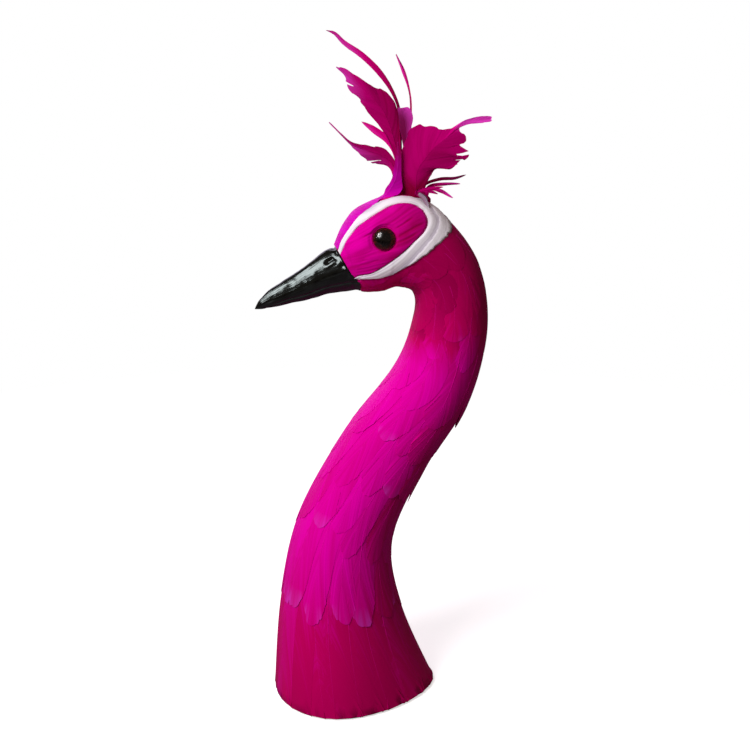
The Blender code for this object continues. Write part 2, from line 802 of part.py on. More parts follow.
def main():
    for thing in list(bpy.data.objects):
        bpy.data.objects.remove(thing, do_unlink=True)
    neck_feather = finish("neck_feather", MAGENTA, 0.7)
    face_feather = finish("face_feather", PINK, 0.7)
    white_feather = finish("white_feather", WHITE, 0.75)
    crest_feather = finish("crest_feather", CRIMSON, 0.65)
    lacquer = finish("black_lacquer", BLACK, 0.18)
    glass = finish("eye_glass", EYE_BROWN, 0.05)
    make_neck_and_head(neck_feather)
    for word, side in (("left", 1), ("right", -1)):
        make_eye("eye_" + word, side, glass)
        make_eye_patch("eye_patch_" + word, side, face_feather)
        make_white_band("white_band_" + word, side, white_feather)
    make_beak(lacquer)
    make_crown_feather(face_feather)
    for name, (root, points) in CREST_FEATHERS.items():
        make_crest_feather(name, root, points, crest_feather)


main()
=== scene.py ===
# %% [markdown]
# # A peacock head covered in dyed feathers
# The ornament is a light core with more than a hundred magenta goose feathers glued on it like tiles,
# a lacquered beak, glass eyes, trimmed face feathers and a crest of loose feathers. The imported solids
# give every place and size, and this script dresses them. Each feather is a real mesh with a shaft and
# barbs, because a bump painted on a smooth neck would lose the thin raised edges that make it feathers.

# %% Load the frame
import math

import bpy
import numpy as np
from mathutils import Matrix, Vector, noise

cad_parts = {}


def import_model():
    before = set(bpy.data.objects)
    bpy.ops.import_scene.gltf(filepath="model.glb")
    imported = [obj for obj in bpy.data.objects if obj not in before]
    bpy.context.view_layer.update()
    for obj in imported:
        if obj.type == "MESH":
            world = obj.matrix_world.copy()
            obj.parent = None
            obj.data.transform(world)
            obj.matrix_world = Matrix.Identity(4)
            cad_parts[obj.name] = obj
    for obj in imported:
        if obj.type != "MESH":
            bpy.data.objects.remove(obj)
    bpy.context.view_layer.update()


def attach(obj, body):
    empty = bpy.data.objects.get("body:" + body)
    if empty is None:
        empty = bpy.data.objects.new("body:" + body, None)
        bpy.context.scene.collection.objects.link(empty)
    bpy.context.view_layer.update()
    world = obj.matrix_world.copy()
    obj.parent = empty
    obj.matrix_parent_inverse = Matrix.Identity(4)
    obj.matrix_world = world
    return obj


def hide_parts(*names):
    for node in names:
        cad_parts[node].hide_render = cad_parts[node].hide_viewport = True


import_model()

# %% [markdown]
# ## Units, colours and chance
# Lengths are metres, so a millimetre gets a name. A colour picked on a screen is sRGB, and shaders
# want linear light, so one function turns it. All uneven shapes come from one seeded generator, so
# every run gives the same feathers.

# %% Units, colours and chance
MM = 0.001
rng = np.random.default_rng(20)


def from_hex(value):
    """A screen colour as the linear numbers that a shader takes."""
    parts = [int(value[i : i + 2], 16) / 255 for i in (0, 2, 4)]
    linear = [p / 12.92 if p <= 0.04045 else ((p + 0.055) / 1.055) ** 2.4 for p in parts]
    return (*linear, 1.0)


def wander(places, step):
    """Smooth chance from -1 to 1 along a line, with a new value every step."""
    places = np.asarray(places, float) / step
    first = math.floor(places.min()) - 1
    values = rng.uniform(-1, 1, math.ceil(places.max()) - first + 2)
    whole = np.floor(places).astype(int)
    f = places - whole
    f = f * f * (3 - 2 * f)
    return values[whole - first] * (1 - f) + values[whole - first + 1] * f


print("a screen's middle grey is", round(from_hex("808080")[0], 3), "in linear light")

# %% [markdown]
# ## Camera
# The photograph looks a little down on the bird's left side, from about three quarters of a metre. The
# camera comes first, so that every later step can be compared with the photograph.

# %% Camera
CAMERA_PLACE = Vector((-0.0872, -0.7174, 0.3965))
CAMERA_TARGET = Vector((0.0136, 0.0, 0.2024))
camera_data = bpy.data.cameras.new("camera")
camera_data.lens = 60
camera_data.sensor_width = 36
camera = bpy.data.objects.new("camera", camera_data)
bpy.context.scene.collection.objects.link(camera)
camera.location = CAMERA_PLACE
camera.rotation_euler = (CAMERA_TARGET - CAMERA_PLACE).to_track_quat("-Z", "Y").to_euler()
bpy.context.scene.camera = camera
print("camera is", round((CAMERA_TARGET - CAMERA_PLACE).length, 3), "m from the bird")

# %% [markdown]
# ## Nodes
# A material is a small graph. One helper adds a node, sets it up and links it, so that each finish
# below reads as a list of steps.


# %% Nodes
def add(tree, kind, inputs=None, **settings):
    """Add a node with its settings, and give each named or numbered input a value or a link."""
    node = tree.nodes.new(kind)
    for name, value in settings.items():
        setattr(node, name, value)
    for socket, value in (inputs or {}).items():
        if isinstance(value, bpy.types.NodeSocket):
            tree.links.new(value, node.inputs[socket])
        else:
            node.inputs[socket].default_value = value
    return node


def new_material(name):
    """An empty material with its shader and output linked."""
    material = bpy.data.materials.new(name)
    material.use_nodes = True
    tree = material.node_tree
    tree.nodes.clear()
    shader = add(tree, "ShaderNodeBsdfPrincipled")
    add(tree, "ShaderNodeOutputMaterial", {"Surface": shader.outputs[0]})
    return material, tree, shader


# Numbers of the sockets of a Mix node that mixes colours
FACTOR, FIRST, SECOND, MIXED = 0, 6, 7, 2
print("a Mix node takes its colours at inputs", FIRST, "and", SECOND)

# %% [markdown]
# ## Dyed goose feather
# A feather's vane is made of barbs, thin side branches hooked together. Dye takes unevenly: thick
# barbs stay deep crimson, thin ones turn a bright violet pink, and the shaft takes least. The vane is
# matte, and what gloss it has is tinted by the dye. One pattern could be laid over the whole neck, but
# its streaks would run on from feather to feather. So each mesh below carries two attributes that say
# where on its own feather a point lies, and the streaks follow the barbs, however the feather bends.

# %% Sizes of barbs and dye
# Barbs stand 0.4 mm apart. That is finer than the picture shows, so they are drawn 0.9 mm apart, and
# groups of them that dried together 3 mm apart.
BARB_SPACING = 0.9  # millimetres, as in the attributes
BARB_GROUP = 3.0
BARB_LENGTH = 20.0
DYE_PATCH = 11.0
HIDE_PALE = 0.84  # tips are pale from this share of the shaft on, and a feather told up to it shows none
DYE_SPREAD = 0.28  # how far the dye's brightness strays
TIP_PALENESS = 0.8
SHAFT_SHOWS = 0.35  # how much of the shaft's own colour comes through
print("barbs are drawn", BARB_SPACING, "mm apart and their groups", BARB_GROUP, "mm")

# %% [markdown]
# ## A feather's finish
# Three streaked patterns run along the barbs: single barbs, groups of them, and patches of dye. Groups
# and patches pick the colour, groups the gloss, and single barbs and groups the fine relief. The graph
# is the same for every feather here and only its colours differ, so one function builds it.


# %% A feather's finish
def feather_finish(name, colours, gloss, contrast=1.0, relief=0.12):
    """A feather's finish, from its dark, deep, main, light and shaft colours and its gloss's."""
    dark, deep, main, light, shaft = (from_hex(colour) for colour in colours.split())
    material, tree, shader = new_material(name)
    places = add(tree, "ShaderNodeAttribute", attribute_name="barb").outputs["Vector"]
    looks = add(tree, "ShaderNodeAttribute", attribute_name="look").outputs["Vector"]
    tone, share, is_shaft = add(tree, "ShaderNodeSeparateXYZ", {0: looks}).outputs
    streaks = []
    for spacing, detail in ((BARB_SPACING, 1.0), (BARB_GROUP, 3.0), (DYE_PATCH, 2.0)):
        inputs = {0: places, 1: (1 / spacing, 1 / BARB_LENGTH, 1.0)}
        scaled = add(tree, "ShaderNodeVectorMath", inputs, operation="MULTIPLY").outputs[0]
        inputs = {"Vector": scaled, "Scale": 1.0, "Detail": detail, "Roughness": 0.6}
        streaks.append(add(tree, "ShaderNodeTexNoise", inputs).outputs[0])
    fine, groups, patches = streaks
    uneven = add(tree, "ShaderNodeMath", {0: groups, 1: patches}, operation="ADD").outputs[0]
    # Each line tells a value between two numbers as a number between two others
    from_dark, to_light, depth, thin, thick_barbs, rough = (
        add(tree, "ShaderNodeMapRange", {
            "Value": value, "From Min": low, "From Max": high, "To Min": to_low, "To Max": to_high,
        }).outputs[0]
        for value, low, high, to_low, to_high in (
            (tone, -1.0, 0.0, 0.0, 1.0),
            (tone, 1.0, 2.0, 0.0, 1.0),
            (uneven, 0.7, 1.3, -DYE_SPREAD * contrast, DYE_SPREAD * contrast),
            (share, HIDE_PALE, 1.0, 0.0, TIP_PALENESS * contrast),
            (patches, 0.42, 0.62, 0.0, 1.0),
            (groups, 0.0, 1.0, 0.5, 0.8),
        )
    )
    dyed = add(tree, "ShaderNodeMath", {0: tone, 1: depth}, operation="ADD", use_clamp=True).outputs[0]
    pale = add(tree, "ShaderNodeMath", {0: thin, 1: thick_barbs}, operation="MULTIPLY").outputs[0]
    bare = add(tree, "ShaderNodeMath", {0: is_shaft, 1: SHAFT_SHOWS}, operation="MULTIPLY").outputs[0]
    colour = dark
    for factor, other in ((from_dark, deep), (dyed, main), (to_light, light), (pale, light), (bare, shaft)):
        inputs = {FACTOR: factor, FIRST: colour, SECOND: other}
        colour = add(tree, "ShaderNodeMix", inputs, data_type="RGBA").outputs[MIXED]
    height = add(tree, "ShaderNodeMath", {0: fine, 1: groups}, operation="ADD").outputs[0]
    inputs = {"Height": height, "Distance": relief * MM, "Strength": 0.7}
    bump = add(tree, "ShaderNodeBump", inputs).outputs[0]
    for socket, value in (("Base Color", colour), ("Roughness", rough), ("Normal", bump)):
        tree.links.new(value, shader.inputs[socket])
    # Solid keratin has an IOR of 1.54. A vane is part air, so it is lower, and the gloss is weak too
    shader.inputs["IOR"].default_value = 1.45
    shader.inputs["Specular IOR Level"].default_value = 0.3
    shader.inputs["Specular Tint"].default_value = from_hex(gloss)
    # The free ends of the barbs catch a little light along the outline
    shader.inputs["Sheen Weight"].default_value = 0.06
    shader.inputs["Sheen Roughness"].default_value = 0.4
    shader.inputs["Sheen Tint"].default_value = from_hex(gloss)
    return material


print("streaks run on for", BARB_LENGTH, "mm along the barbs")

# %% [markdown]
# ## Feather colours
# All the pink feathers are goose feathers dyed in a bath, but a neck feather, a short trimmed one and a
# stripped one each hold the dye in their own way. One finish could serve them all, but the crest would
# then be as pink as the neck. Each has five colours of its own: dark, deep, main, light and shaft.

# %% Feather colours
VIOLET = "D800E0"  # gloss on dyed barbs
# Whole feathers dyed magenta. Their vanes are smooth, so a soft violet gloss follows the neck
# Where the tone drops below 0 its dark colour comes in: at the foot, and as painted shade under the head
neck_feather = feather_finish(
    "magenta_dyed_goose_feather", "74002C C8005E EE00AE DC40CC F01CB0", VIOLET, relief=0.1
)
# Short feathers, dyed and trimmed with scissors. The cut ends give an even pink with deep creases,
# and the deep colours also serve as painted shade in those creases
face_feather = feather_finish("pink_trimmed_goose_feather", "700030 A80050 EA00A6 D838C8 E01CA0", VIOLET)
# One thin feather that took the dye lightly, so it is the most violet and the brightest
crown_finish = feather_finish("violet_pink_goose_feather", "700030 A80058 E008C6 F050E0 F040D8", VIOLET)
# Stiff feathers, dyed crimson and stripped by hand. Their thick barbs hold an even, deep colour
crest_finish = feather_finish(
    "crimson_stripped_goose_feather", "5C0020 900032 D4007E F244D0 B80068", VIOLET, contrast=0.7
)
print("feather finishes:", len(bpy.data.materials))

# %% [markdown]
# ## The neck as a surface
# The feathers lie on the neck and head, so they need its surface, not only its mesh. The ribs are those
# of the solid. Each gives x and z of the front point and of the back point and the half width, in
# hundredths of the body's height, and last how much narrower the back is than the middle, as a share.
# Feathers could be laid on the solid's faces, but those are few and would show as flats. A place on the
# smooth surface is told by how far along the middle line it lies, from 0 at the foot to 100 at the
# beak, and how far it is turned down from the back or crown, in degrees, with the bird's left positive.

# %% The neck's ribs
BODY_HEIGHT = 300 * MM
BODY_RIBS = np.array([
    (-16.5, 0.0, 16.8, 0.0, 15.2, 0.25),
    (-15.0, 19.8, 9.8, 17.5, 11.6, 0.14),
    (-11.1, 37.8, 7.8, 32.9, 9.4, 0.03),
    (-1.7, 55.3, 14.4, 47.9, 8.5, 0.0),
    (8.8, 69.1, 22.9, 61.2, 7.9, 0.0),
    (12.5, 79.3, 26.9, 76.0, 7.1, 0.0),
    (12.2, 84.3, 24.9, 89.7, 6.8, 0.0),
    (8.7, 85.6, 17.5, 99.5, 6.9, 0.0),
    (6.0, 84.8, 9.7, 103.3, 6.7, 0.0),
    (3.5, 84.6, 2.0, 101.2, 5.8, 0.0),
    (2.3, 84.6, -1.3, 98.0, 4.9, 0.0),
    (1.6, 84.8, -3.3, 93.6, 3.8, 0.0),
])
SIDEWAYS = np.array((0.0, -1.0, 0.0))  # towards the bird's left
print("the neck and head have", len(BODY_RIBS), "ribs")

# %% [markdown]
# ## The middle line
# Ribs stand close together at the head and far apart on the neck, so their numbers are no measure of
# length. A spline through them is smooth, and its length is measured along the ribs' middles.

# %% The middle line
RIB_STEPS = 12


def spline(points, t):
    """Points number t, whole or in between, on a smooth curve through the points."""
    last = len(points) - 1
    t = np.clip(t, 0.0, last)
    i = np.minimum(t.astype(int), last - 1)
    f = (t - i)[..., None]
    a, b, c, d = points[np.maximum(i - 1, 0)], points[i], points[i + 1], points[np.minimum(i + 2, last)]
    bend = f * f * (a - 2.5 * b + 2.0 * c - 0.5 * d) + f**3 * (1.5 * (b - c) + 0.5 * (d - a))
    return b + 0.5 * f * (c - a) + bend


def rib_middle(rib):
    """Middle of a rib, halfway from its front to its back."""
    x, z = rib[..., 0] + rib[..., 2], rib[..., 1] + rib[..., 3]
    return np.stack([x, np.zeros_like(x), z], -1) * (BODY_HEIGHT / 200)


rib_numbers = np.arange((len(BODY_RIBS) - 1) * RIB_STEPS + 1) / RIB_STEPS
middles = rib_middle(spline(BODY_RIBS, rib_numbers))
middle_line = np.concatenate([[0], np.cumsum(np.linalg.norm(np.diff(middles, axis=0), axis=1))])
NECK_LENGTH = middle_line[-1]
print("the middle line is", round(NECK_LENGTH / MM), "mm long")

# %% [markdown]
# ## Places on the neck
# Every feather needs points on the surface and the direction straight out of it. They could be found by
# shooting rays at the solid, but worked out from the ribs they are smooth and quick.


# %% Places on the neck
def bare_point(along, down):
    """Points on the neck or head under its feathers."""
    rib = spline(BODY_RIBS, np.interp(np.asarray(along) * NECK_LENGTH / 100, middle_line, rib_numbers))
    turn = np.radians(down)
    half = np.stack([rib[..., 2] - rib[..., 0], 0 * rib[..., 0], rib[..., 3] - rib[..., 1]], -1)
    width = rib[..., 4] * (BODY_HEIGHT / 100) * (1 - rib[..., 5] * np.cos(turn))
    point = rib_middle(rib) + half * (BODY_HEIGHT / 200 * np.cos(turn))[..., None]
    return point + SIDEWAYS * (width * np.sin(turn))[..., None]


def unit(vectors):
    """The vectors at length 1."""
    return vectors / np.linalg.norm(vectors, axis=-1, keepdims=True)


def body_normal(along, down):
    """Directions straight out of the neck or head."""
    up = bare_point(np.minimum(along + 0.3, 100), down) - bare_point(np.maximum(along - 0.3, 0), down)
    return unit(np.cross(up, bare_point(along, down + 1) - bare_point(along, down - 1)))


def on_body(along, down, lift):
    """Points at this height over the neck or head."""
    along, down = np.broadcast_arrays(np.asarray(along, float), np.asarray(down, float))
    return bare_point(along, down) + body_normal(along, down) * np.asarray(lift)[..., None]


def back_from_beak(length):
    """How far along a place lies that is this length back from the beak."""
    return 100 * (1 - length / NECK_LENGTH)


left, right = on_body(50, (90, -90), 0.0)
print("half way along, the neck is", round(float(np.linalg.norm(left - right)) / MM), "mm wide")

# %% [markdown]
# ## From points to pieces
# A feather is thin but not flat paper: it has two faces and a rim. So each vane is a grid of points,
# copied a little lower and joined along its open edges, which gives one closed skin that a slicer or a
# game engine can use too.


# %% Closed skins
def thicken(top, low, faces):
    """A closed skin between two grids of points that share their faces."""
    count = len(top)
    edges = np.concatenate([faces[:, [i, (i + 1) % 4]] for i in range(4)])
    there = edges[:, 0] * count + edges[:, 1]
    back = edges[:, 1] * count + edges[:, 0]
    a, b = edges[~np.isin(back, there)].T
    rim = np.stack([b, a, a + count, b + count], -1)
    return np.concatenate([top, low]), np.concatenate([faces, faces[:, ::-1] + count, rim])


def grid_faces(rows, columns, closed=False):
    """Faces of a grid of points, whose rows may close into rings."""
    number = np.arange(rows * columns).reshape(rows, columns)
    if closed:
        number = np.concatenate([number, number[:, :1]], 1)
    corners = (number[:-1, :-1], number[:-1, 1:], number[1:, 1:], number[1:, :-1])
    return np.stack([corner.ravel() for corner in corners], -1)


print("a grid of 3 by 4 points has", len(grid_faces(3, 4)), "faces, and closed", len(grid_faces(3, 4, True)))

# %% [markdown]
# ## Pieces
# A ring of feathers is one object and not twelve, so that it can be picked and replaced as one. The two
# attributes go with the points, and the solids that a piece stands for are hidden.

# %% Pieces
SHARP_EDGE = math.radians(60)  # edges that turn more than this stay sharp, as at a vane's rim


def gather(parts):
    """One set of points, faces and attributes from those of several parts."""
    start = 0
    faces = []
    for part in parts:
        faces += [tuple(face) for face in (np.asarray(part["faces"]) + start).tolist()]
        for cap in part.get("caps", ()):
            faces.append(tuple(int(corner) + start for corner in cap))
        start += len(part["points"])
    joined = {key: np.concatenate([part[key] for part in parts]) for key in ("points", "barb", "look")}
    return {**joined, "faces": faces}


def add_piece(name, parts, material, replaces=()):
    """Turn the parts into one mesh piece that rides on the ornament."""
    made = gather(parts)
    mesh = bpy.data.meshes.new(name)
    mesh.from_pydata(made["points"].tolist(), [], made["faces"])
    for key in ("barb", "look"):
        attribute = mesh.attributes.new(key, "FLOAT_VECTOR", "POINT")
        attribute.data.foreach_set("vector", np.ascontiguousarray(made[key], np.float32).ravel())
    mesh.materials.append(material)
    mesh.validate()
    mesh.shade_smooth()
    mesh.set_sharp_from_angle(angle=SHARP_EDGE)
    piece = bpy.data.objects.new(name, mesh)
    bpy.context.scene.collection.objects.link(piece)
    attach(piece, "root")
    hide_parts(*replaces)
    print(name, len(mesh.polygons), "faces")
    return piece


# %% [markdown]
# ## A feather's shaft
# The shaft is a thin horn tube, thick at its root and drawn out to nothing. A line painted on the vane
# would be quicker, but the real one stands up from the vane and catches the light, so it is a rod. Each
# part of a feather asks a place function where to go: it takes a share of the shaft, a distance across
# and a height, and so the same feather can lie on the neck or stand free.

# %% A feather's shaft
VANE_THICKNESS = 0.16 * MM
SHAFT_ROWS = 30
SHAFT_SIDES = 6
SHAFT_TAPER = 0.85  # the share of its thickness that a shaft loses up to its end


def smooth_step(values):
    """From 0 to 1 with soft ends."""
    values = np.clip(values, 0, 1)
    return values * values * (3 - 2 * values)


def rod(place, length, tone, seed, radius, end):
    """The shaft up to an end, which is a share of the feather's length."""
    share = np.linspace(0, end, SHAFT_ROWS)[:, None]
    turn = np.linspace(0, 2 * np.pi, SHAFT_SIDES, endpoint=False)[None]
    size = radius * (1 - SHAFT_TAPER * share / end)
    x = size * np.cos(turn)
    points = place(share + 0 * x, x, VANE_THICKNESS + size * 0.8 * np.sin(turn)).reshape(-1, 3)
    caps = [range(SHAFT_SIDES)[::-1], range((SHAFT_ROWS - 1) * SHAFT_SIDES, SHAFT_ROWS * SHAFT_SIDES)]
    barb = np.stack([share * length / MM + 0 * x, x / MM, np.full_like(x, seed)], -1).reshape(-1, 3)
    dye = np.interp(share, *zip(*tone)) + 0 * x
    look = np.stack([dye, share + 0 * x, np.ones_like(x)], -1).reshape(-1, 3)
    faces = grid_faces(SHAFT_ROWS, SHAFT_SIDES, True)
    return {"points": points, "faces": faces, "caps": caps, "barb": barb, "look": look}


print("a shaft has", SHAFT_ROWS * SHAFT_SIDES, "points")

# %% [markdown]
# ## A feather's vane
# A flat leaf with a jagged picture on it would look like paper. A barb leaves the shaft and runs out
# and towards the tip, so each row of the grid is one barb or a few of them, and the feather's outline
# only says where the rows end. Barbs unhook here and there, which opens a split from the edge inwards.
# Rows vary a little in length, height and direction, single barbs and groups of them alike.

# %% A feather's vane
BARB_LEAD = 0.2  # how far towards the tip a barb reaches, as a share of the shaft
BARB_STEP = 1.6 * MM  # how far along the shaft barbs keep a like length, and groups, and slow waves
CLUMP_STEP = 4.5 * MM
WAVE_STEP = 11 * MM
SPLIT_REACH = 0.07  # how far from a split, as a share of the shaft, the barbs are still pushed aside


def row_chance(places, step):
    """Chance for the rows on each side of the shaft."""
    return wander(places, step), wander(places, step)


def feather(place, length, before, behind, tone, rows=60, columns=13, end=0.985, lead=BARB_LEAD,
            ragged=0.03, relief=0.05 * MM, splits=(), shaft=0.45 * MM, shaft_end=0.93, side_shade=0.0,
            share_shown=1.0, waves=0.0):
    """A feather's vane and shaft.

    before and behind give its half widths at a share of the shaft, and tone is pairs of a share and the
    brightness there, of the dye and of any painted shade. A vane can be made lighter before its shaft and
    darker behind it, as painted light and shade. A split is where it meets the edge, its side, how near
    the shaft it starts and how far it opens.
    """
    share = np.linspace(0, end, rows)
    # Where each barb ends: near the root and the tip it reaches less far ahead
    edge = np.minimum(share + lead * np.minimum(share / 0.15, 1) * (1 - share) ** 0.7, 1.0)
    u = np.linspace(-1, 1, columns)
    out = np.abs(u)
    half = np.where(u < 0, before(edge)[:, None], behind(edge)[:, None])
    barb_mm = np.repeat((share * length / MM)[:, None], columns, 1)
    rough = np.where(u < 0, *[side[:, None] for side in row_chance(share * length, BARB_STEP)])
    clumps = np.where(u < 0, *[side[:, None] for side in row_chance(share * length, CLUMP_STEP)])
    x = u * half * (1 + ragged * (rough + clumps) * out**3)
    y = share[:, None] + (edge - share)[:, None] * out**1.35 + 0.8 * ragged * clumps * out**2
    height = relief * (rough + 1.5 * clumps) * out**0.5
    if waves:
        bends = np.where(u < 0, *[side[:, None] for side in row_chance(share * length, WAVE_STEP)])
        height = height + waves * bends * out**1.5
    faces = grid_faces(rows, columns)
    keep = np.ones((rows - 1, columns - 1), bool)
    for at, side, depth, gap in splits:
        inside = np.sign(u) == side
        opened = smooth_step((out - depth) / (1 - depth)) * inside
        row = int(np.searchsorted(edge, at))
        away = edge - at
        push = np.sign(away) * np.exp(-np.abs(away) / SPLIT_REACH) * gap / 2
        y = y + push[:, None] * opened
        middle = (out[:-1] + out[1:]) / 2
        if 0 < row < rows:
            keep[row - 1, (middle > depth) & inside[:-1] & inside[1:]] = False
    y = np.clip(y, 0, 1)
    faces = faces[keep.ravel()]
    top = place(y, x, height + VANE_THICKNESS).reshape(-1, 3)
    low = place(y, x, height).reshape(-1, 3)
    points, faces = thicken(top, low, faces)
    seed = rng.uniform(0, 100)
    barb = np.stack([barb_mm, x / MM, np.full_like(x, seed)], -1).reshape(-1, 3)
    # The vane is painted lighter before the shaft and darker behind it: painted light and shade
    dye = np.interp(y, *zip(*tone)) - side_shade * u
    look = np.stack([dye, y * share_shown, np.zeros_like(x)], -1).reshape(-1, 3)
    vane = {"points": points, "faces": faces, "barb": np.tile(barb, (2, 1)), "look": np.tile(look, (2, 1))}
    return [vane, rod(place, length, tone, seed, shaft, shaft_end)]


print("barbs lead by up to", BARB_LEAD, "of a shaft, and a vane is", VANE_THICKNESS / MM, "mm thick")

# %% [markdown]
# ## Core under the feathers
# The real core is likely light foam, coloured so that no white shows between the feathers. The solid
# could be kept for it, but its facets would show there. So it is the same surface made finer and
# smooth, closed flat under the foot, and the feathers' roots vanish in it.

# %% Core under the feathers
CORE_COLUMNS = 96
CORE_ROWS = 150
FOOT_ROUNDING = 2.5 * MM
FOOT_LIFT = 0.5 * MM  # of the core, so that it fills the feathers that wrap under the foot
FOOT_TURNS = (0, 25, 50, 75)  # degrees round the foot's edge
CORE_FROM = 1.2  # hundredths of the neck, where the foot's round edge is done
FEATHER_STEP = 1.1 * MM
CORE_LOOK = (0.25, 0.3, 0.0)  # a deep tone, no pale tip and no shaft


def foot_point(down, turn, lift):
    """Points round the foot's edge, from 0 degrees underneath to 90 at its side."""
    turn = np.radians(turn)
    inset = FOOT_ROUNDING * (1 - np.sin(turn))
    points = on_body(np.zeros_like(down), down, lift - inset)
    points[..., 2] = np.maximum(FOOT_ROUNDING * (1 - np.cos(turn)) - (lift - FEATHER_STEP) * np.cos(turn), 0)
    return points


def core():
    """The core as one closed part."""
    down = np.linspace(0, 360, CORE_COLUMNS, endpoint=False)
    rings = [foot_point(down, np.full_like(down, turn), FOOT_LIFT) for turn in FOOT_TURNS]
    for along in np.linspace(CORE_FROM, 100, CORE_ROWS):
        rings.append(on_body(np.full_like(down, along), down, np.zeros_like(down)))
    points = np.concatenate(rings)
    count = len(points)
    caps = [range(CORE_COLUMNS)[::-1], range(count - CORE_COLUMNS, count)]
    barb = np.stack([points[:, 2] / MM, points[:, 0] / MM, 0 * points[:, 0]], -1)
    look = np.tile(CORE_LOOK, (count, 1))
    faces = grid_faces(len(rings), CORE_COLUMNS, True)
    return {"points": points, "faces": faces, "caps": caps, "barb": barb, "look": look}


add_piece("neck_core", [core()], neck_feather, ["neck_and_head"])

# %% [markdown]
# ## Feathers round the neck
# The maker starts at the foot and glues ring over ring upwards, tips down, each ring hiding the roots
# of the one below. A ring of whole feathers could be one wavy skirt, but then no feather would lie over
# its neighbour. Here each feather is laid by itself: it follows the neck, rises a little towards its
# tip, and rolls so that one edge slips under the next feather.

# %% Sizes of the rings
RING_STARTS = (0.0, 14.3, 27.2, 38.0, 47.2, 55.2, 62.1, 68.4, 74.1, 79.3, 84.0)
FEATHER_SPACING = 13.5 * MM  # between neighbours in a ring
WIDTH_SHARES = (2.1, 1.55)  # a feather's width against that spacing, at the flared foot and above
ROOT_LIFT = 0.25 * MM
TIP_LIFT = 0.95 * MM
HIGH_RING = 6  # from this ring up, counted from 0, the feathers are small and lie close
HIGH_TIP_LIFT = 0.5 * MM
SHAFT_RADII = (0.28 * MM, 0.2 * MM)  # below that ring, and from it up
ROLLS = (-0.1 * MM, -0.17 * MM, -0.07 * MM)  # at the foot, on the neck and under the head
BACK_LIFT = 1.5 * MM  # how far a tip on the back may stand off, in three rings
BACK_RINGS = (3, 4, 5)
EDGE_DROP = 0.12 * MM  # a vane's edges curl down to the neck
WRAP_BELOW = 0.7  # where along the neck a feather starts to wrap under the foot
# Each list starts with the lowest ring, and its last value is for all the rings above. The lowest tips
# stand in a row and are square, and those of the second ring are pale more often
TIP_RANGES = ((-0.08, -0.079), (0.1, 0.26), (-0.12, 0.48))
TIP_POWERS = ((80, 81), (2.6, 5.0), (1.3, 2.4))
PALE_TIPS = (0, 0.8, 0.4, 0.12)
RING_TONES = (-0.1, -0.03, -0.03)
SHAFT_ENDS = (0.88, 0.93)  # at the foot, where the tips turn under, and above
print(len(RING_STARTS) - 1, "rings, the lowest", RING_STARTS[1], "hundredths of the neck tall")

# %% [markdown]
# ## Laying a feather on the neck
# This is the place function for the neck. A feather's own grid is flat, and it is bent round the neck
# here. The lowest ones wrap under the foot, as the maker folds them over the edge of the core to hide it.


# %% Laying a feather on the neck
def ring_radius(along, down):
    """How far a turn of one radian goes on the surface."""
    two_degrees = bare_point(along, down + 1) - bare_point(along, down - 1)
    return np.linalg.norm(two_degrees, axis=-1) / math.radians(2)


def lay_on_neck(root, tip, down, lean, root_lift, tip_lift, roll, half):
    """Where the points of a feather go that lies on the neck from root to tip."""
    def place(y, x, height):
        along = root + (tip - root) * y
        middle = down + lean * y
        turn = middle + np.degrees(x / ring_radius(along, middle))
        lift = root_lift + (tip_lift - root_lift) * y + roll * x / half - EDGE_DROP * (x / half) ** 2
        points = on_body(np.maximum(along, WRAP_BELOW), turn, lift + height)
        under = np.clip((WRAP_BELOW - along) * NECK_LENGTH / 100 / FOOT_ROUNDING, 0, math.pi / 2 * 0.97)
        wrapped = foot_point(turn, 90 - np.degrees(under), lift + height)
        return np.where((along < WRAP_BELOW)[..., None], wrapped, points)
    return place


def broad_outline(half, power=2.6):
    """Half width at a share of the shaft of a broad feather, with a squarer tip at a higher power."""
    return lambda share: half * np.minimum(1, (share / 0.3) ** 0.6) * np.sqrt(
        np.maximum(1 - np.clip((share - 0.45) / 0.55, 0, 1) ** power, 0)
    )


foot_radius = float(np.mean(ring_radius(np.array(0.0), np.arange(0, 360, 30))))
print("round the foot it is", round(2 * math.pi * foot_radius / MM), "mm")

# %% [markdown]
# ## Dye and painted shade along the neck
# The ornament isn't one pink. The tone is deep at the foot and brightest in the middle of the front,
# and the rest is painted light and shade: painted shade down the back, under the head and on the
# throat, and a painted highlight on the nape's side below the head. Every feather could get one colour
# by chance, but then these bands would be lost. So a tone is worked out for its root, middle and tip.


# %% Dye and painted shade along the neck
def nearness(down, middle, reach):
    """How near a turn is to another, from 0 to 1."""
    return math.exp(-(((down - middle + 180) % 360 - 180) / reach) ** 2)


def on_back(down):
    """How near a turn is to the left side of the back, from 0 to 1."""
    return nearness(down, 30, 45)


def neck_tone_and_shade(along, down):
    """The tone: deep at the foot, painted shade on the back, under the head and on the throat."""
    bright = float(smooth_step((along - 2) / 30) * (1 - 0.86 * smooth_step((along - 64) / 6.5)))
    # Painted shade down the back of the neck's left side, which is turned from the key light
    back = on_back(down) * bright * float(1 - smooth_step((along - 57) / 7))
    # Painted shade under the head, where its shadow falls
    shade_under_head = float(smooth_step((along - 64) / 10))
    # Below the head: a painted highlight on the nape's side and painted shade on the throat
    bend = 0.4 * nearness(down, 55, 40) - 0.45 * nearness(down, 180, 50)
    return 0.05 + 0.8 * bright - 0.45 * max(back, shade_under_head) + bend * nearness(along, 69.5, 4.5)


print("tones up the front:", [round(neck_tone_and_shade(along, 180), 2) for along in range(0, 100, 20)])

# %% [markdown]
# ## Rings of feathers
# No two feathers are alike, and a maker's hand isn't quite steady. One feather could be copied round the
# neck, but the eye finds the repeat at once. So each gets a little luck in its turn, size, lean, lift,
# outline and dye.

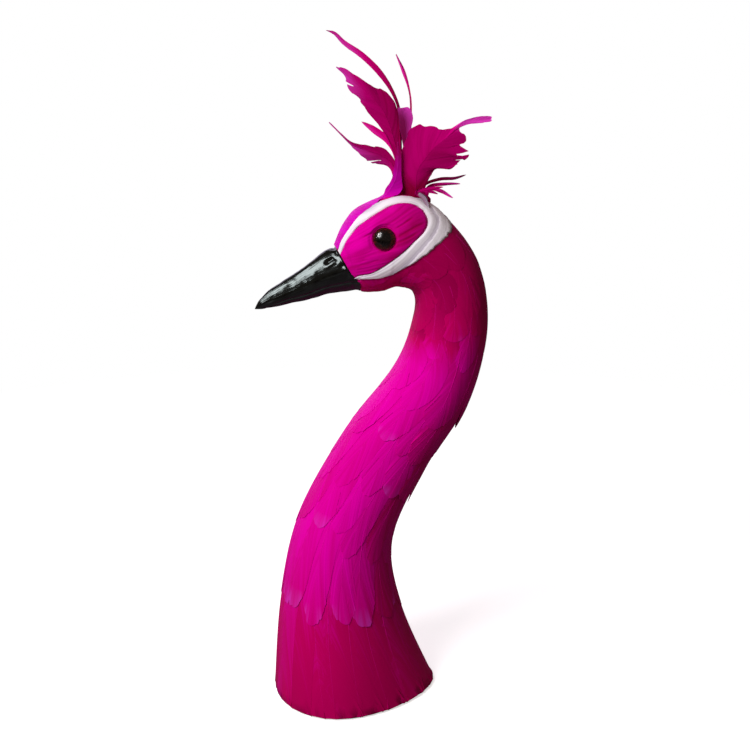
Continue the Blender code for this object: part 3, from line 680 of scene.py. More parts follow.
# %% Rings of feathers
TURN_LUCK = (-0.18, 0.18)  # as a share of the space between neighbours
ROOT_COVER = 0.9  # how far a root reaches under the next ring, as a share of that ring
WIDTH_LUCK = (0.85, 1.15)
LIFT_LUCK = (0.8, 1.0)
LEANS = (-7, 7)  # degrees from root to tip
SPLIT_PLACES = (0.75, 0.97)
SPLIT_DEPTHS = (0.5, 0.8)
SPLIT_GAP = 0.005
TONE_LUCK = (-0.2, 0.18)
NECK_LEAD = 0.65  # barbs of these soft feathers point far towards the tip
FOOT_RAGGED = 0.004  # the lowest ring is smoothed and glued down
NECK_RAGGED = 0.02
FOOT_RELIEF = 0.02 * MM
NECK_RELIEF = 0.05 * MM


def neck_ring(ring):
    """The feathers of one ring."""
    low, high = RING_STARTS[ring], RING_STARTS[ring + 1]
    tall = high - low
    middle = np.array((low + high) / 2)
    around = 2 * math.pi * float(np.mean(ring_radius(middle, np.arange(0, 360, 30))))
    count = round(around / FEATHER_SPACING)
    half = around / count * WIDTH_SHARES[min(ring, 1)] / 2
    parts = []
    for number in range(count):
        down = 360 / count * (number + 0.5 * (ring % 2) + rng.uniform(*TURN_LUCK))
        tip = low + tall * rng.uniform(*TIP_RANGES[min(ring, 2)])
        root = high + tall * ROOT_COVER
        wide = half * rng.uniform(*WIDTH_LUCK)
        length = (root - tip) / 100 * NECK_LENGTH
        lift = (TIP_LIFT if ring < HIGH_RING else HIGH_TIP_LIFT) * rng.uniform(*LIFT_LUCK)
        if ring in BACK_RINGS:
            lift += BACK_LIFT * on_back(down) * rng.uniform(0, 1)
        roll = ROLLS[0 if ring == 0 else 1 if ring < HIGH_RING else 2]
        place = lay_on_neck(root, tip, down, rng.uniform(*LEANS), ROOT_LIFT, lift, roll, wide)
        splits = []
        for _ in range(rng.integers(0, 2) if ring else 0):
            at, side = rng.uniform(*SPLIT_PLACES), rng.choice((-1, 1))
            splits.append((at, side, rng.uniform(*SPLIT_DEPTHS), SPLIT_GAP))
        outline = broad_outline(wide, rng.uniform(*TIP_POWERS[min(ring, 2)]))
        luck = RING_TONES[min(ring, 2)] + rng.uniform(*TONE_LUCK)
        tones = [(share, neck_tone_and_shade(root + (tip - root) * share, down) + luck) for share in (0, 0.5, 1)]
        pale = rng.uniform() < PALE_TIPS[min(ring, 3)]
        parts += feather(
            place, length, outline, outline, tones, lead=NECK_LEAD,
            ragged=NECK_RAGGED if ring else FOOT_RAGGED, relief=NECK_RELIEF if ring else FOOT_RELIEF,
            splits=splits, shaft=SHAFT_RADII[0 if ring < HIGH_RING else 1],
            shaft_end=SHAFT_ENDS[min(ring, 1)], share_shown=1.0 if pale else HIDE_PALE,
        )
    return parts


for ring in range(len(RING_STARTS) - 1):
    add_piece(f"neck_feathers_ring_{ring + 1:02d}", neck_ring(ring), neck_feather)

# %% [markdown]
# ## Small feathers on throat and nape
# Under the beak and behind the crest the neck's rings can't reach. More rings could go on there, but
# whole ones would lie over the face. So the maker lays small feathers singly, and they point back to
# the neck. They lie flatter, because the white feathers go over their edges.

# %% Small feathers on throat and nape
SMALL_LIFTS = (0.1 * MM, 0.45 * MM)  # at the root and at the tip
SMALL_ROLL = 0.1 * MM
THROAT_LENGTH = 8.5  # in hundredths of the neck, as all places along it


def small_feathers(places, half):
    """Feathers laid by root, tip and turn."""
    parts = []
    for root, tip, down in places:
        lay = lay_on_neck(root, tip, down, rng.uniform(-4, 4), *SMALL_LIFTS, SMALL_ROLL, half)
        length = (root - tip) / 100 * NECK_LENGTH
        outline = broad_outline(half)
        # The tone is kept deep, partly to paint the shade under the head on the throat
        tone = rng.uniform(-0.1, 0.25)
        parts += feather(
            lay, length, outline, outline, ((0, tone),), rows=40, columns=11, shaft=0.2 * MM,
            share_shown=HIDE_PALE,
        )
    return parts


turns = (124, 152, 180, 208, 236)
throat = [(tip + THROAT_LENGTH, tip, down) for tip in (83.0, 87.0, 91.0) for down in turns]
nape = [(92.0, 82.5, -9), (92.0, 82.5, 9), (92.5, 84.0, 0)]
add_piece("throat_feathers", small_feathers(throat, 7.5 * MM), neck_feather)
add_piece("nape_feathers", small_feathers(nape, 4.5 * MM), neck_feather)

# %% [markdown]
# ## Face feathers
# The face is short soft feathers, trimmed with scissors: a pink patch round each eye and a white band
# round the patch. Their outlines are told from the eye: the share of the way to the beak, and the share
# of the turn down from the crown to the eye. One grid for each, with fine ridges along the barbs, reads
# as trimmed feathers. Laying them one by one would cost many faces and look the same.

# %% Face outlines
EYE_DIAMETER = 13 * MM
EYE_RIM_GAP = 0.6 * MM
EYE_ALONG = back_from_beak(23.9 * MM)
EYE_DOWN = 77.0
FACE_FRONT = back_from_beak(2.5 * MM)
FACE_REACH = 2.2 * MM  # how far the front feathers run on, under the lacquer of the beak
FACE_GAP = 0.4 * MM
FACE_HEIGHT = 1.3 * MM
PATCH_EDGE = np.array([
    (1.0, 0.6), (0.66, 0.62), (0.33, 0.57), (0.03, 0.49), (-0.33, 0.41), (-0.56, 0.39), (-0.72, 0.44),
    (-0.8, 0.51), (-0.87, 0.62), (-0.89, 0.78), (-0.75, 1.03), (-0.48, 1.27), (-0.05, 1.44), (0.49, 1.52),
    (1.0, 1.4),
])
BAND_EDGE = np.array([
    (1.0, 0.43), (0.69, 0.46), (0.36, 0.35), (0.1, 0.25), (-0.26, 0.2), (-0.64, 0.12), (-0.95, 0.05),
    (-1.28, 0.08), (-1.36, 0.29), (-1.36, 0.55), (-1.23, 0.99), (-0.98, 1.38), (-0.39, 1.62), (0.21, 1.65),
    (0.85, 1.55),
])


def face_edge(points, shares):
    """Places along an edge of the face feathers."""
    edge = spline(points, np.asarray(shares) * (len(points) - 1))
    along = EYE_ALONG + (FACE_FRONT - EYE_ALONG) * edge[:, 0]
    along += 100 * FACE_REACH / NECK_LENGTH * smooth_step((edge[:, 0] - 0.8) / 0.2)
    return np.stack([along, EYE_DOWN * edge[:, 1]], -1)


def eye_axes(side):
    """Middle of an eye and its three directions: outwards, and two across."""
    centre = bare_point(np.array(EYE_ALONG), np.array(side * EYE_DOWN))
    outward = body_normal(np.array(EYE_ALONG), np.array(side * EYE_DOWN))
    first = unit(np.cross((0.0, 0.0, 1.0), outward))
    return centre, outward, first, np.cross(outward, first)


def rim_of(edge):
    """Where the lines from the eye to an edge leave the eye's rim."""
    centre, outward, _, _ = eye_axes(1)
    eye = np.array((EYE_ALONG, EYE_DOWN))
    shares = np.linspace(0, 1, 120)
    found = []
    for point in edge:
        line = eye + (point - eye) * shares[:, None]
        away = bare_point(line[:, 0], line[:, 1]) - centre
        away -= outward * (away @ outward)[:, None]
        share = np.interp(EYE_DIAMETER / 2 + EYE_RIM_GAP, np.linalg.norm(away, axis=1), shares)
        found.append(eye + (point - eye) * share)
    return np.array(found)


eye_height = bare_point(np.array(EYE_ALONG), np.array(EYE_DOWN))[2]
print("the eyes are", round(float(eye_height) / MM), "mm up, at", round(EYE_ALONG, 1), "of the neck")

# %% [markdown]
# ## Skin of the face
# Both the patch and the band are a grid of points over the head with a height for each. A flat cut-out
# could be wrapped on the head, but it would pull out of shape over the brow. Here the rows of the grid
# run between the outlines on the head itself, so the edges are right and the barbs lie along them.


# %% Skin of the face
def face_skin(places, side, height, across, along, closed, tone):
    """A closed skin over the head through rows of places, with a height over its low side."""
    rows, columns = height.shape
    top = on_body(places[..., 0], side * places[..., 1], FACE_GAP + height).reshape(-1, 3)
    low = on_body(places[..., 0], side * places[..., 1], np.full_like(height, FACE_GAP)).reshape(-1, 3)
    faces = grid_faces(rows, columns, closed)
    if side < 0:
        faces = faces[:, ::-1]
    points, faces = thicken(top, low, faces[:, ::-1])
    barb = np.stack([across, along, np.full_like(across, 10.0 * side)], -1).reshape(-1, 3)
    look = np.stack([tone, np.full_like(across, 0.5), np.zeros_like(across)], -1).reshape(-1, 3)
    return {"points": points, "faces": faces, "barb": np.tile(barb, (2, 1)), "look": np.tile(look, (2, 1))}


print("the face stands", FACE_HEIGHT / MM, "mm high over the head")

# %% [markdown]
# ## Pink patches
# Round each eye the short pink feathers are laid from the beak backwards and cut to one height. The
# scissors leave fine ridges along the barbs and a few deep creases where two feathers part. Creases
# painted on would vanish in a side light, so ridges and creases are both in the mesh. Their shade is
# painted into the tone as well: lighter on the ridges and darker in the creases.

# %% Pink patches
PATCH_COLUMNS = 150
PATCH_FRONT = 20  # columns along the beak, which close the ring round the eye
PATCH_ROWS = 40
# The trimmed barbs run back from a point near the beak's tip, told from the eye. Deeper creases lie
# between some: how far above the eye, and from how far to how far along.
BARBS_FROM = np.array((-65.0, 0.0, -29.0)) * MM
CREASES = ((-1.6, 77, 97), (-4.4, 72, 90), (2.2, 78, 92), (-10.6, 46, 66), (-8.0, 48, 60), (5.5, 60, 74))
CREASE_WIDTH = 0.4  # millimetres, like those that follow
CREASE_DEPTH = 0.3
RIDGE_HEIGHT = 0.11
FINE_RIDGE = 0.8
BROAD_RIDGE = 2.6
PATCH_CROWN = 0.5 * MM  # how much higher the middle of the patch is than its edges


def eye_patch(side):
    """The pink feathers round one eye."""
    edge = face_edge(PATCH_EDGE, np.linspace(0, 1, PATCH_COLUMNS))
    front = np.linspace(edge[-1], edge[0], PATCH_FRONT)[1:-1]
    edge = np.concatenate([edge, front])
    rim = rim_of(edge)
    v = np.linspace(0, 1, PATCH_ROWS)[:, None, None]
    places = rim + (edge - rim) * v
    back = (FACE_FRONT - places[..., 0]) / 100 * NECK_LENGTH / MM
    away = bare_point(places[..., 0], places[..., 1]) - eye_axes(1)[0] - BARBS_FROM
    along = np.hypot(away[..., 0], away[..., 2]) / MM
    eye_away = np.hypot(*BARBS_FROM[[0, 2]]) / MM
    rise = np.arctan2(away[..., 2], away[..., 0]) - math.atan2(-BARBS_FROM[2], -BARBS_FROM[0])
    across = rise * eye_away + 0.35 * wander(along.ravel(), 9).reshape(along.shape)
    ridges = wander(across.ravel(), FINE_RIDGE) + wander(across.ravel(), BROAD_RIDGE)
    ridges = ridges.reshape(across.shape)
    crease = 0
    for at, first, last in CREASES:
        there = smooth_step((along - first) / 4) * smooth_step((last - along) / 4)
        crease = crease + there * np.exp(-(((across - at) / CREASE_WIDTH) ** 2))
    v = v[..., 0]
    edge_fall = smooth_step(v / 0.12) * smooth_step((1 - v) / 0.08)
    tucked = smooth_step((back - 0.2) / 3.0)
    height = FACE_HEIGHT * (0.35 + 0.65 * edge_fall) - FACE_GAP * 0.35
    height = height + (RIDGE_HEIGHT * ridges - CREASE_DEPTH * crease) * MM * edge_fall
    height = (height + PATCH_CROWN * np.sin(np.pi * v) * edge_fall) * (0.3 + 0.7 * tucked)
    # Painted light and shade in the tone: higher on the ridges, low in the creases; deeper towards the back
    tone = 0.75 - 0.4 * smooth_step((back - 12) / 16) + 0.16 * ridges - 0.35 * crease
    return face_skin(places, side, height, across, along, True, tone)


for word, side in (("left", 1), ("right", -1)):
    add_piece(f"pink_patch_{word}", [eye_patch(side)], face_feather, [f"eye_patch_{word}"])

# %% [markdown]
# ## White bands
# Each band is several undyed feathers that lie along it, end over end, and are trimmed to its shape. A
# smooth tube would have the right outline, but would look like cord. So it has ridges along its length,
# a few steps where one feather ends on the next, and a ragged outer edge. Its finish comes first: the
# same barbs as on the pink ones, without the dye.

# %% White feather
# Goose feather as it grows, washed and trimmed. It is warm white and matte. Its mauve-greys are painted
# shade in the band's folds and at its outer edge, with a painted reflection of the pink feathers in them
white_feather = feather_finish(
    "white_trimmed_goose_feather", "905C74 A898B4 FCF4FF FFFFFF FAF4FF", "FFFFFF", contrast=0.7
)
print("made", white_feather.name)

# %% [markdown]
# ## Shape of the white bands
# The inner edge is the patch's outline and the outer edge is the band's. Rows of points run along the
# band from its start over the eye to its end under the eye, and the ridges run with them.

# %% Shape of the white bands
BAND_COLUMNS = 220
BAND_ROWS = 22
BAND_STEPS = (0.16, 0.34, 0.52, 0.68, 0.84)  # where a feather ends, as a share of the band
BAND_LENGTH = 95.0  # millimetres, as those that follow
BAND_FINE = 0.7
BAND_BROAD = 2.0
BAND_FOLD = 3.2
BAND_RIDGE_HEIGHT = 0.12
BAND_FOLD_HEIGHT = 0.18
BAND_STEP_HEIGHT = 0.2


def white_band(side):
    """The white feathers round one patch, open at the beak."""
    shares = np.linspace(0, 1, BAND_COLUMNS)
    inner, outer = face_edge(PATCH_EDGE, shares), face_edge(BAND_EDGE, shares)
    span = np.linalg.norm(bare_point(*outer.T) - bare_point(*inner.T), axis=1)
    v = np.linspace(0, 1, BAND_ROWS)[:, None]
    first = (0.1 + 0.3 * wander(shares, 0.03)) * MM / span
    ragged = 0.03 * (wander(shares, 0.004) + wander(shares, 0.015)) + 0.03 * wander(shares, 0.05)
    reach = first + (1 - first + ragged) * v
    places = inner + (outer - inner) * reach[..., None]
    across = v * span / MM + 1.2 * wander(shares, 0.09)
    along = np.broadcast_to(shares * BAND_LENGTH, across.shape)
    ridges = wander(across.ravel(), BAND_FINE) + wander(across.ravel(), BAND_BROAD)
    ridges = ridges.reshape(across.shape)
    steps = 0
    for at in BAND_STEPS:
        away = shares - at - 0.05 * (v - 0.5)
        steps = steps + np.where(away > 0, np.exp(-away / 0.06), 0)
    edge_fall = (0.5 + 0.5 * smooth_step(v / 0.12)) * smooth_step((1 - v) / 0.08)
    ends = smooth_step(shares / 0.03) * smooth_step((1 - shares) / 0.03)
    folds = wander(across.ravel(), BAND_FOLD).reshape(across.shape)
    height = FACE_HEIGHT * (0.25 + 0.55 * edge_fall * ends) - FACE_GAP * 0.3
    rough = BAND_RIDGE_HEIGHT * ridges + BAND_FOLD_HEIGHT * folds + BAND_STEP_HEIGHT * steps
    height = height + rough * MM * edge_fall * ends
    # Painted light and shade in the tone: higher on ridges and folds, low at the outer edge where it falls
    tone = 0.85 + 0.2 * ridges + 0.3 * folds - 0.4 * smooth_step((v - 0.8) / 0.2)
    return face_skin(places, side, height, across, along, False, tone)


for word, side in (("left", 1), ("right", -1)):
    band = [white_band(side)]
    add_piece(f"white_feathers_{word}", band, white_feather, [f"white_band_{word}"])

# %% [markdown]
# ## Glass eyes
# A taxidermy eye is a dome of clear glass, painted on its back: a large black pupil in a dark brown
# ring. One dark glossy ball would do from afar, but real glass over a painted disc gives the depth and
# the sharp small highlight. The disc carries its distance from the middle, and the paint follows it.

# %% Clear glass
# Soda glass, melted to a dome and fire polished. It is clear with a faint warm cast. The roughness is
# higher than that of polished glass, because handled eyes have a film, and it softens the highlight
clear_glass, tree, shader = new_material("clear_eye_glass")
shader.inputs["Base Color"].default_value = from_hex("F6EEE8")
shader.inputs["Roughness"].default_value = 0.14
shader.inputs["IOR"].default_value = 1.52
shader.inputs["Specular IOR Level"].default_value = 0.3
shader.inputs["Transmission Weight"].default_value = 1.0
print("made", clear_glass.name)

# %% [markdown]
# ## Painted iris
# The paint is seen through the glass. A flat brown disc with a black one on it would do, but the real
# pupil has a soft edge, so one map turns the distance from the middle into the mix of two colours.

# %% Painted iris
# Enamel, brushed on the back of the glass: black in the middle, and at the rim brown with a fine grain.
# It has hardly any gloss of its own, so that only the glass shines
IRIS_FROM = 0.62  # where the pupil starts to turn brown, as a share of the disc's radius
IRIS_FULL = 0.95
GRAINS = 900.0  # across the disc, so 0.014 mm each: finer than a pixel, it only breaks up the brown
GRAIN_SPREAD = 0.12
eye_paint, tree, shader = new_material("painted_brown_iris")
looks = add(tree, "ShaderNodeAttribute", attribute_name="look").outputs["Vector"]
reach = add(tree, "ShaderNodeSeparateXYZ", {0: looks}).outputs[1]
grain = add(tree, "ShaderNodeTexNoise", {"Scale": GRAINS, "Detail": 2.0}).outputs[0]
inputs = {0: grain, 1: GRAIN_SPREAD, 2: reach}
blurred = add(tree, "ShaderNodeMath", inputs, operation="MULTIPLY_ADD").outputs[0]
inputs = {"Value": blurred, "From Min": IRIS_FROM, "From Max": IRIS_FULL}
ring = add(tree, "ShaderNodeMapRange", inputs).outputs[0]
inputs = {FACTOR: ring, FIRST: from_hex("040203"), SECOND: from_hex("5A1408")}
iris = add(tree, "ShaderNodeMix", inputs, data_type="RGBA").outputs[MIXED]
tree.links.new(iris, shader.inputs["Base Color"])
shader.inputs["Roughness"].default_value = 0.7
shader.inputs["Specular IOR Level"].default_value = 0.05
print("made", eye_paint.name)

# %% [markdown]
# ## Round parts
# Both the glass and the paint are round, so one function turns a profile about the eye's middle, as on
# a lathe. A sphere could be squashed and cut, but a profile gives the dome and its wall in one go.

# %% Round parts
EYE_SIDES = 72


def plain_part(points, faces, caps=(), look=None):
    """A part whose attributes are its places."""
    look = np.zeros_like(points) if look is None else look
    return {"points": points, "faces": faces, "caps": caps, "barb": points / MM, "look": look}


def turned(side, profile):
    """A closed round part about an eye's middle, from radii and heights, wide end first."""
    centre, outward, first, second = eye_axes(side)
    turn = np.linspace(0, 2 * np.pi, EYE_SIDES, endpoint=False)[None, :, None]
    wide, high = (np.array(column)[:, None, None] for column in zip(*profile))
    points = (centre + outward * high + (first * np.cos(turn) + second * np.sin(turn)) * wide).reshape(-1, 3)
    count = len(points)
    caps = [range(EYE_SIDES)[::-1], range(count - EYE_SIDES, count)]
    look = np.zeros_like(points)
    look[:, 1] = np.repeat([radius / profile[0][0] for radius, _ in profile], EYE_SIDES)
    return plain_part(points, grid_faces(len(profile), EYE_SIDES, True), caps, look)


print("a round part has", EYE_SIDES, "sides")

# %% [markdown]
# ## Dome and disc
# The dome is an ellipse turned round, with a straight wall that sits in the socket. Half a ball would
# stare, because real eyes show only a low part of theirs. The back of the glass is a little hollow, so
# the painted disc bulges with it.

# %% Dome and disc
EYE_BULGE = 3.4 * MM
EYE_SEAT = 3.0 * MM
DOME_STEPS = 24
DISC_SHARE = 0.96  # of the eye's radius
DISC_SEAT = 1.0 * MM
DISC_STEPS = 20
PAINT_HEIGHT = 0.25 * MM  # over the head, which shows through clear glass
PAINT_DEPTH = -0.2 * MM  # from the middle of the disc to its rim
radius = EYE_DIAMETER / 2
dome = [(radius, -EYE_SEAT)]
for step in range(DOME_STEPS + 1):
    turn = math.radians(89.0 * step / DOME_STEPS)
    dome.append((radius * math.cos(turn), EYE_BULGE * math.sin(turn)))
disc = [(radius * DISC_SHARE, -DISC_SEAT)]
for step in range(DISC_STEPS):
    share = 1 - step / DISC_STEPS
    disc.append((radius * DISC_SHARE * share, PAINT_HEIGHT + PAINT_DEPTH * share**2))
for word, side in (("left", 1), ("right", -1)):
    add_piece(f"eye_glass_{word}", [turned(side, dome)], clear_glass, [f"eye_{word}"])
    add_piece(f"eye_paint_{word}", [turned(side, disc)], eye_paint)

# %% [markdown]
# ## The beak's ribs
# The beak is a resin casting with a soft ridge on top. Its ribs are those of the solid: x and z of the
# top point and of the bottom point and the half width, in hundredths of the beak's length. The solid
# itself could be smoothed, but the skin needs finer rows than it has for the lacquer's lumps.

# %% The beak's ribs
BEAK_LENGTH = 58 * MM
BEAK_ROOT_SHARE = 0.96
BEAK_RIDGE = 0.22
BEAK_RIBS = [
    (-22.8, 18.4, 0.3, -22.9, 16.4),
    (-38.3, 6.9, -18.1, -24.8, 12.9),
    (-53.3, -3.6, -37.1, -30.0, 10.7),
    (-68.4, -12.9, -54.7, -33.4, 8.6),
    (-80.5, -21.2, -69.8, -36.4, 6.6),
    (-87.8, -28.3, -81.9, -38.1, 4.1),
]
BEAK_TIP = np.array((-94.0, 0.0, -39.0)) * BEAK_LENGTH / 100
BEAK_ROWS = 150
BEAK_TIP_ROWS = 12
BEAK_SIDES = 120
BEAK_GAP = 0.3 * MM  # how far before the head it starts, as the solid does. The lip covers it

face = BODY_RIBS[-1]
across = np.array((face[2] - face[0], 0.0, face[3] - face[1]))
beak_back = -unit(np.cross(SIDEWAYS, across))
beak_root = rib_middle(face) - beak_back * BEAK_GAP
scale = BEAK_ROOT_SHARE * BODY_HEIGHT / 100
half_x, half_z = across[0] / 2 * scale, across[2] / 2 * scale
beak_ribs = np.array([(half_x, half_z, -half_x, -half_z, face[4] * scale)])
beak_ribs = np.concatenate([beak_ribs, np.array(BEAK_RIBS) * BEAK_LENGTH / 100])
print("the beak has", len(beak_ribs), "ribs")

# %% [markdown]
# ## Dents and lumps
# A mouth line and two nostril slots are pressed into the beak, each slot with a raised rim, and thick
# lacquer dried in lumps over them. All this could be a bump in the material, but only real dents catch
# the light in the right place from every side, and they stay when the mesh is printed.

# %% Dents and lumps
MOUTH_DOWN = 120.0  # degrees down from the ridge
MOUTH_DEPTH = 0.55 * MM
MOUTH_WIDTH = 0.45 * MM
MOUTH_END = 5.6  # the rib before which the line fades out
NOSTRIL_RIB = 1.0  # the rib at the slot's middle
NOSTRIL_DOWN = 50.0
NOSTRIL_DEPTH = 1.2 * MM
NOSTRIL_LENGTH = 3.4 * MM  # from the slot's middle to its end, and so for the widths
NOSTRIL_WIDTH = 0.95 * MM
NOSTRIL_SLANT = 0.12
RIM_AWAY = 1.7 * MM  # from the slot's middle to the rim's
RIM_HEIGHT = 0.3 * MM
RIM_LENGTH = 4.4 * MM
RIM_WIDTH = 0.8 * MM
RIB_SPACING = 10.5 * MM  # near the nostrils
LUMP_SIZES = ((7 * MM, 0.34), (3 * MM, 0.1))  # how far across, and how many millimetres high
KNOB_SIZE = 3.4 * MM
KNOB_HEIGHT = 0.75  # millimetres
KNOBS_BEFORE = 0.9  # the rib up to which lacquer ran together in knobs
KNOBS_FADE = 0.6  # ribs over which they die out before it


def dents(numbers, from_top, girth):
    """How deep the mouth line and the nostrils are pressed in."""
    off_mouth = np.radians(from_top - MOUTH_DOWN) * girth
    mouth = np.exp(-((off_mouth / MOUTH_WIDTH) ** 2)) * smooth_step(MOUTH_END - numbers)[:, None]
    off_long = (numbers - NOSTRIL_RIB)[:, None] * RIB_SPACING
    off_side = np.radians(from_top - NOSTRIL_DOWN) * girth - NOSTRIL_SLANT * off_long
    slot = np.exp(-((off_long / NOSTRIL_LENGTH) ** 4) - (off_side / NOSTRIL_WIDTH) ** 2)
    rim = np.exp(-((off_long / RIM_LENGTH) ** 4) - ((off_side - RIM_AWAY) / RIM_WIDTH) ** 2)
    return MOUTH_DEPTH * mouth + NOSTRIL_DEPTH * slot - RIM_HEIGHT * rim


def lumps(points, size):
    """Smooth chance from -1 to 1 at points in space."""
    values = [noise.noise(Vector(point) / size) for point in points.reshape(-1, 3)]
    return np.array(values).reshape(points.shape[:-1])


def lacquer_lumps(points, numbers):
    """How deep the lacquer's surface dips, with knobs near the face."""
    soft = sum(lumps(points, size) * high for size, high in LUMP_SIZES)
    near_face = smooth_step((KNOBS_BEFORE - numbers) / KNOBS_FADE)[:, None]
    return (soft + lumps(points, KNOB_SIZE) * KNOB_HEIGHT * near_face) * MM


print("nostril slots are", round(2 * NOSTRIL_LENGTH / MM, 1), "mm long")

# %% [markdown]
# ## The beak's skin
# One grid of rings runs from the head to the last rib, and a few smaller rings close the tip. Where it
# meets the face, the lacquer runs on over the front feathers in a thin wavy lip, which hides the seam.

# %% The beak's skin
LIP_ROWS = 0.25  # in ribs
LIP_HEIGHT = 0.9 * MM
LIP_REACH = 0.8 * MM
# The strokes of the lacquer are told in millimetres: so many for a degree round the beak, and for a rib
ROUND_STEP = 0.2
RIB_STEP = 9
TIP_STEP = 0.4


def beak():
    """The beak as one closed part."""
    numbers = np.linspace(0, len(BEAK_RIBS), BEAK_ROWS)
    down = np.linspace(0, 360, BEAK_SIDES, endpoint=False)
    rib = spline(beak_ribs, numbers)[:, None]
    middle = np.stack([rib[..., 0] + rib[..., 2], 0 * rib[..., 0], rib[..., 1] + rib[..., 3]], -1) / 2
    half = np.stack([rib[..., 0] - rib[..., 2], 0 * rib[..., 0], rib[..., 1] - rib[..., 3]], -1) / 2
    turn = np.radians(down)[None]
    wide = rib[..., 4] * np.sin(turn) * (1 - BEAK_RIDGE * np.cos(turn))
    points = beak_root + middle + half * np.cos(turn)[..., None] + SIDEWAYS * wide[..., None]
    inward = unit(beak_root + middle - points)
    from_top = np.minimum(down, 360 - down)[None]
    girth = np.linalg.norm(points - beak_root - middle, axis=-1)
    dent = dents(numbers, from_top, girth) + lacquer_lumps(points, numbers)
    lip = (1 - smooth_step(numbers / LIP_ROWS))[:, None]
    dent = dent - LIP_HEIGHT * lip
    wavy = LIP_REACH * (1.2 + 0.9 * np.sin(turn * 3 + 1) + 0.8 * np.sin(turn * 7))
    points = points + inward * dent[..., None] + beak_back * (lip * wavy)[..., None]
    last, heart = points[-1], (beak_root + middle[-1, 0])
    tip_rows = []
    for step in range(1, BEAK_TIP_ROWS + 1):
        share = step / (BEAK_TIP_ROWS + 0.3)
        centre = heart + (beak_root + BEAK_TIP - heart) * share
        tip_rows.append(centre + (last - heart) * (1 - share**1.4))
    points = np.concatenate([points.reshape(-1, 3), np.concatenate(tip_rows)])
    count = len(points)
    caps = [range(BEAK_SIDES)[::-1], range(count - BEAK_SIDES, count)]
    part = plain_part(points, grid_faces(BEAK_ROWS + BEAK_TIP_ROWS, BEAK_SIDES, True), caps)
    tip_places = numbers[-1] * RIB_STEP + np.arange(BEAK_TIP_ROWS) * TIP_STEP
    row_places = np.concatenate([numbers * RIB_STEP, tip_places])[:, None]
    strokes = np.broadcast_arrays(from_top * ROUND_STEP, row_places, 0.0)
    part["barb"] = np.stack(strokes, -1).reshape(-1, 3)
    return part


beak_part = beak()
print("the beak's skin has", len(beak_part["points"]), "points")

# %% [markdown]
# ## Black lacquer
# The beak is coated by brush with thick black lacquer. It is glossy but not even, and its one long
# highlight breaks up along the strokes. A plain black plastic would show one clean streak. So strokes
# in the beak's own length vary the gloss and the relief, and the thin coat underneath is duller.

# %% Black lacquer
# Black alkyd lacquer, brushed on and left to dry: its IOR is near 1.55, and strokes 2 mm wide stay in it
BRUSH_STROKE = 2.2  # millimetres across a stroke, and along it
STROKE_LENGTH = 15.0
STROKE_RELIEF = 0.35 * MM
GLOSSY = 0.1  # roughness between the strokes, and on them
BRUSHED = 0.26
DULL_FROM_RIDGE = (17.0, 25.0)  # the paint is thin underneath, so many millimetres round from the ridge
DULLER = 0.45
black_lacquer, tree, shader = new_material("black_gloss_lacquer")
places = add(tree, "ShaderNodeAttribute", attribute_name="barb").outputs["Vector"]
inputs = {0: places, 1: (1 / BRUSH_STROKE, 1 / STROKE_LENGTH, 1.0)}
scaled = add(tree, "ShaderNodeVectorMath", inputs, operation="MULTIPLY").outputs[0]
inputs = {"Vector": scaled, "Scale": 1.0, "Detail": 2.0, "Roughness": 0.6}
strokes = add(tree, "ShaderNodeTexNoise", inputs).outputs[0]
from_ridge = add(tree, "ShaderNodeSeparateXYZ", {0: places}).outputs[0]
inputs = {"Value": strokes, "From Min": 0.4, "From Max": 0.64, "To Min": GLOSSY, "To Max": BRUSHED}
brushed = add(tree, "ShaderNodeMapRange", inputs).outputs[0]
dull_from, dull_to = DULL_FROM_RIDGE
inputs = {"Value": from_ridge, "From Min": dull_from, "From Max": dull_to, "To Max": DULLER}
dull = add(tree, "ShaderNodeMapRange", inputs).outputs[0]
rough = add(tree, "ShaderNodeMath", {0: brushed, 1: dull}, operation="ADD").outputs[0]
inputs = {FACTOR: strokes, FIRST: from_hex("010101"), SECOND: from_hex("040405")}
black = add(tree, "ShaderNodeMix", inputs, data_type="RGBA").outputs[MIXED]
inputs = {"Height": strokes, "Distance": STROKE_RELIEF, "Strength": 0.5}
bumps = add(tree, "ShaderNodeBump", inputs).outputs[0]
for socket, value in (("Base Color", black), ("Roughness", rough), ("Normal", bumps)):
    tree.links.new(value, shader.inputs[socket])
shader.inputs["IOR"].default_value = 1.55
shader.inputs["Specular IOR Level"].default_value = 0.5
shader.inputs["Specular Tint"].default_value = from_hex("E8F6F6")
shader.inputs["Coat Weight"].default_value = 0.1
shader.inputs["Coat Roughness"].default_value = 0.2
add_piece("beak_lacquered", [beak_part], black_lacquer, ["beak"])

# %% [markdown]
# ## Crest
# The crest is loose feathers, stripped and split with scissors, that stand in the crown by their
# quills. One feather could be copied ten times, but here each has a bend and an outline of its own, and
# together they are what the bird is known by. So each keeps the shaft of its solid and nearly its
# widths. First comes where its root is on the crown, from the crest's middle: along the neck, and in
# degrees down. Each row is the shaft's x, y and z and the vane's width before and behind it, in
# hundredths of the crest's height.

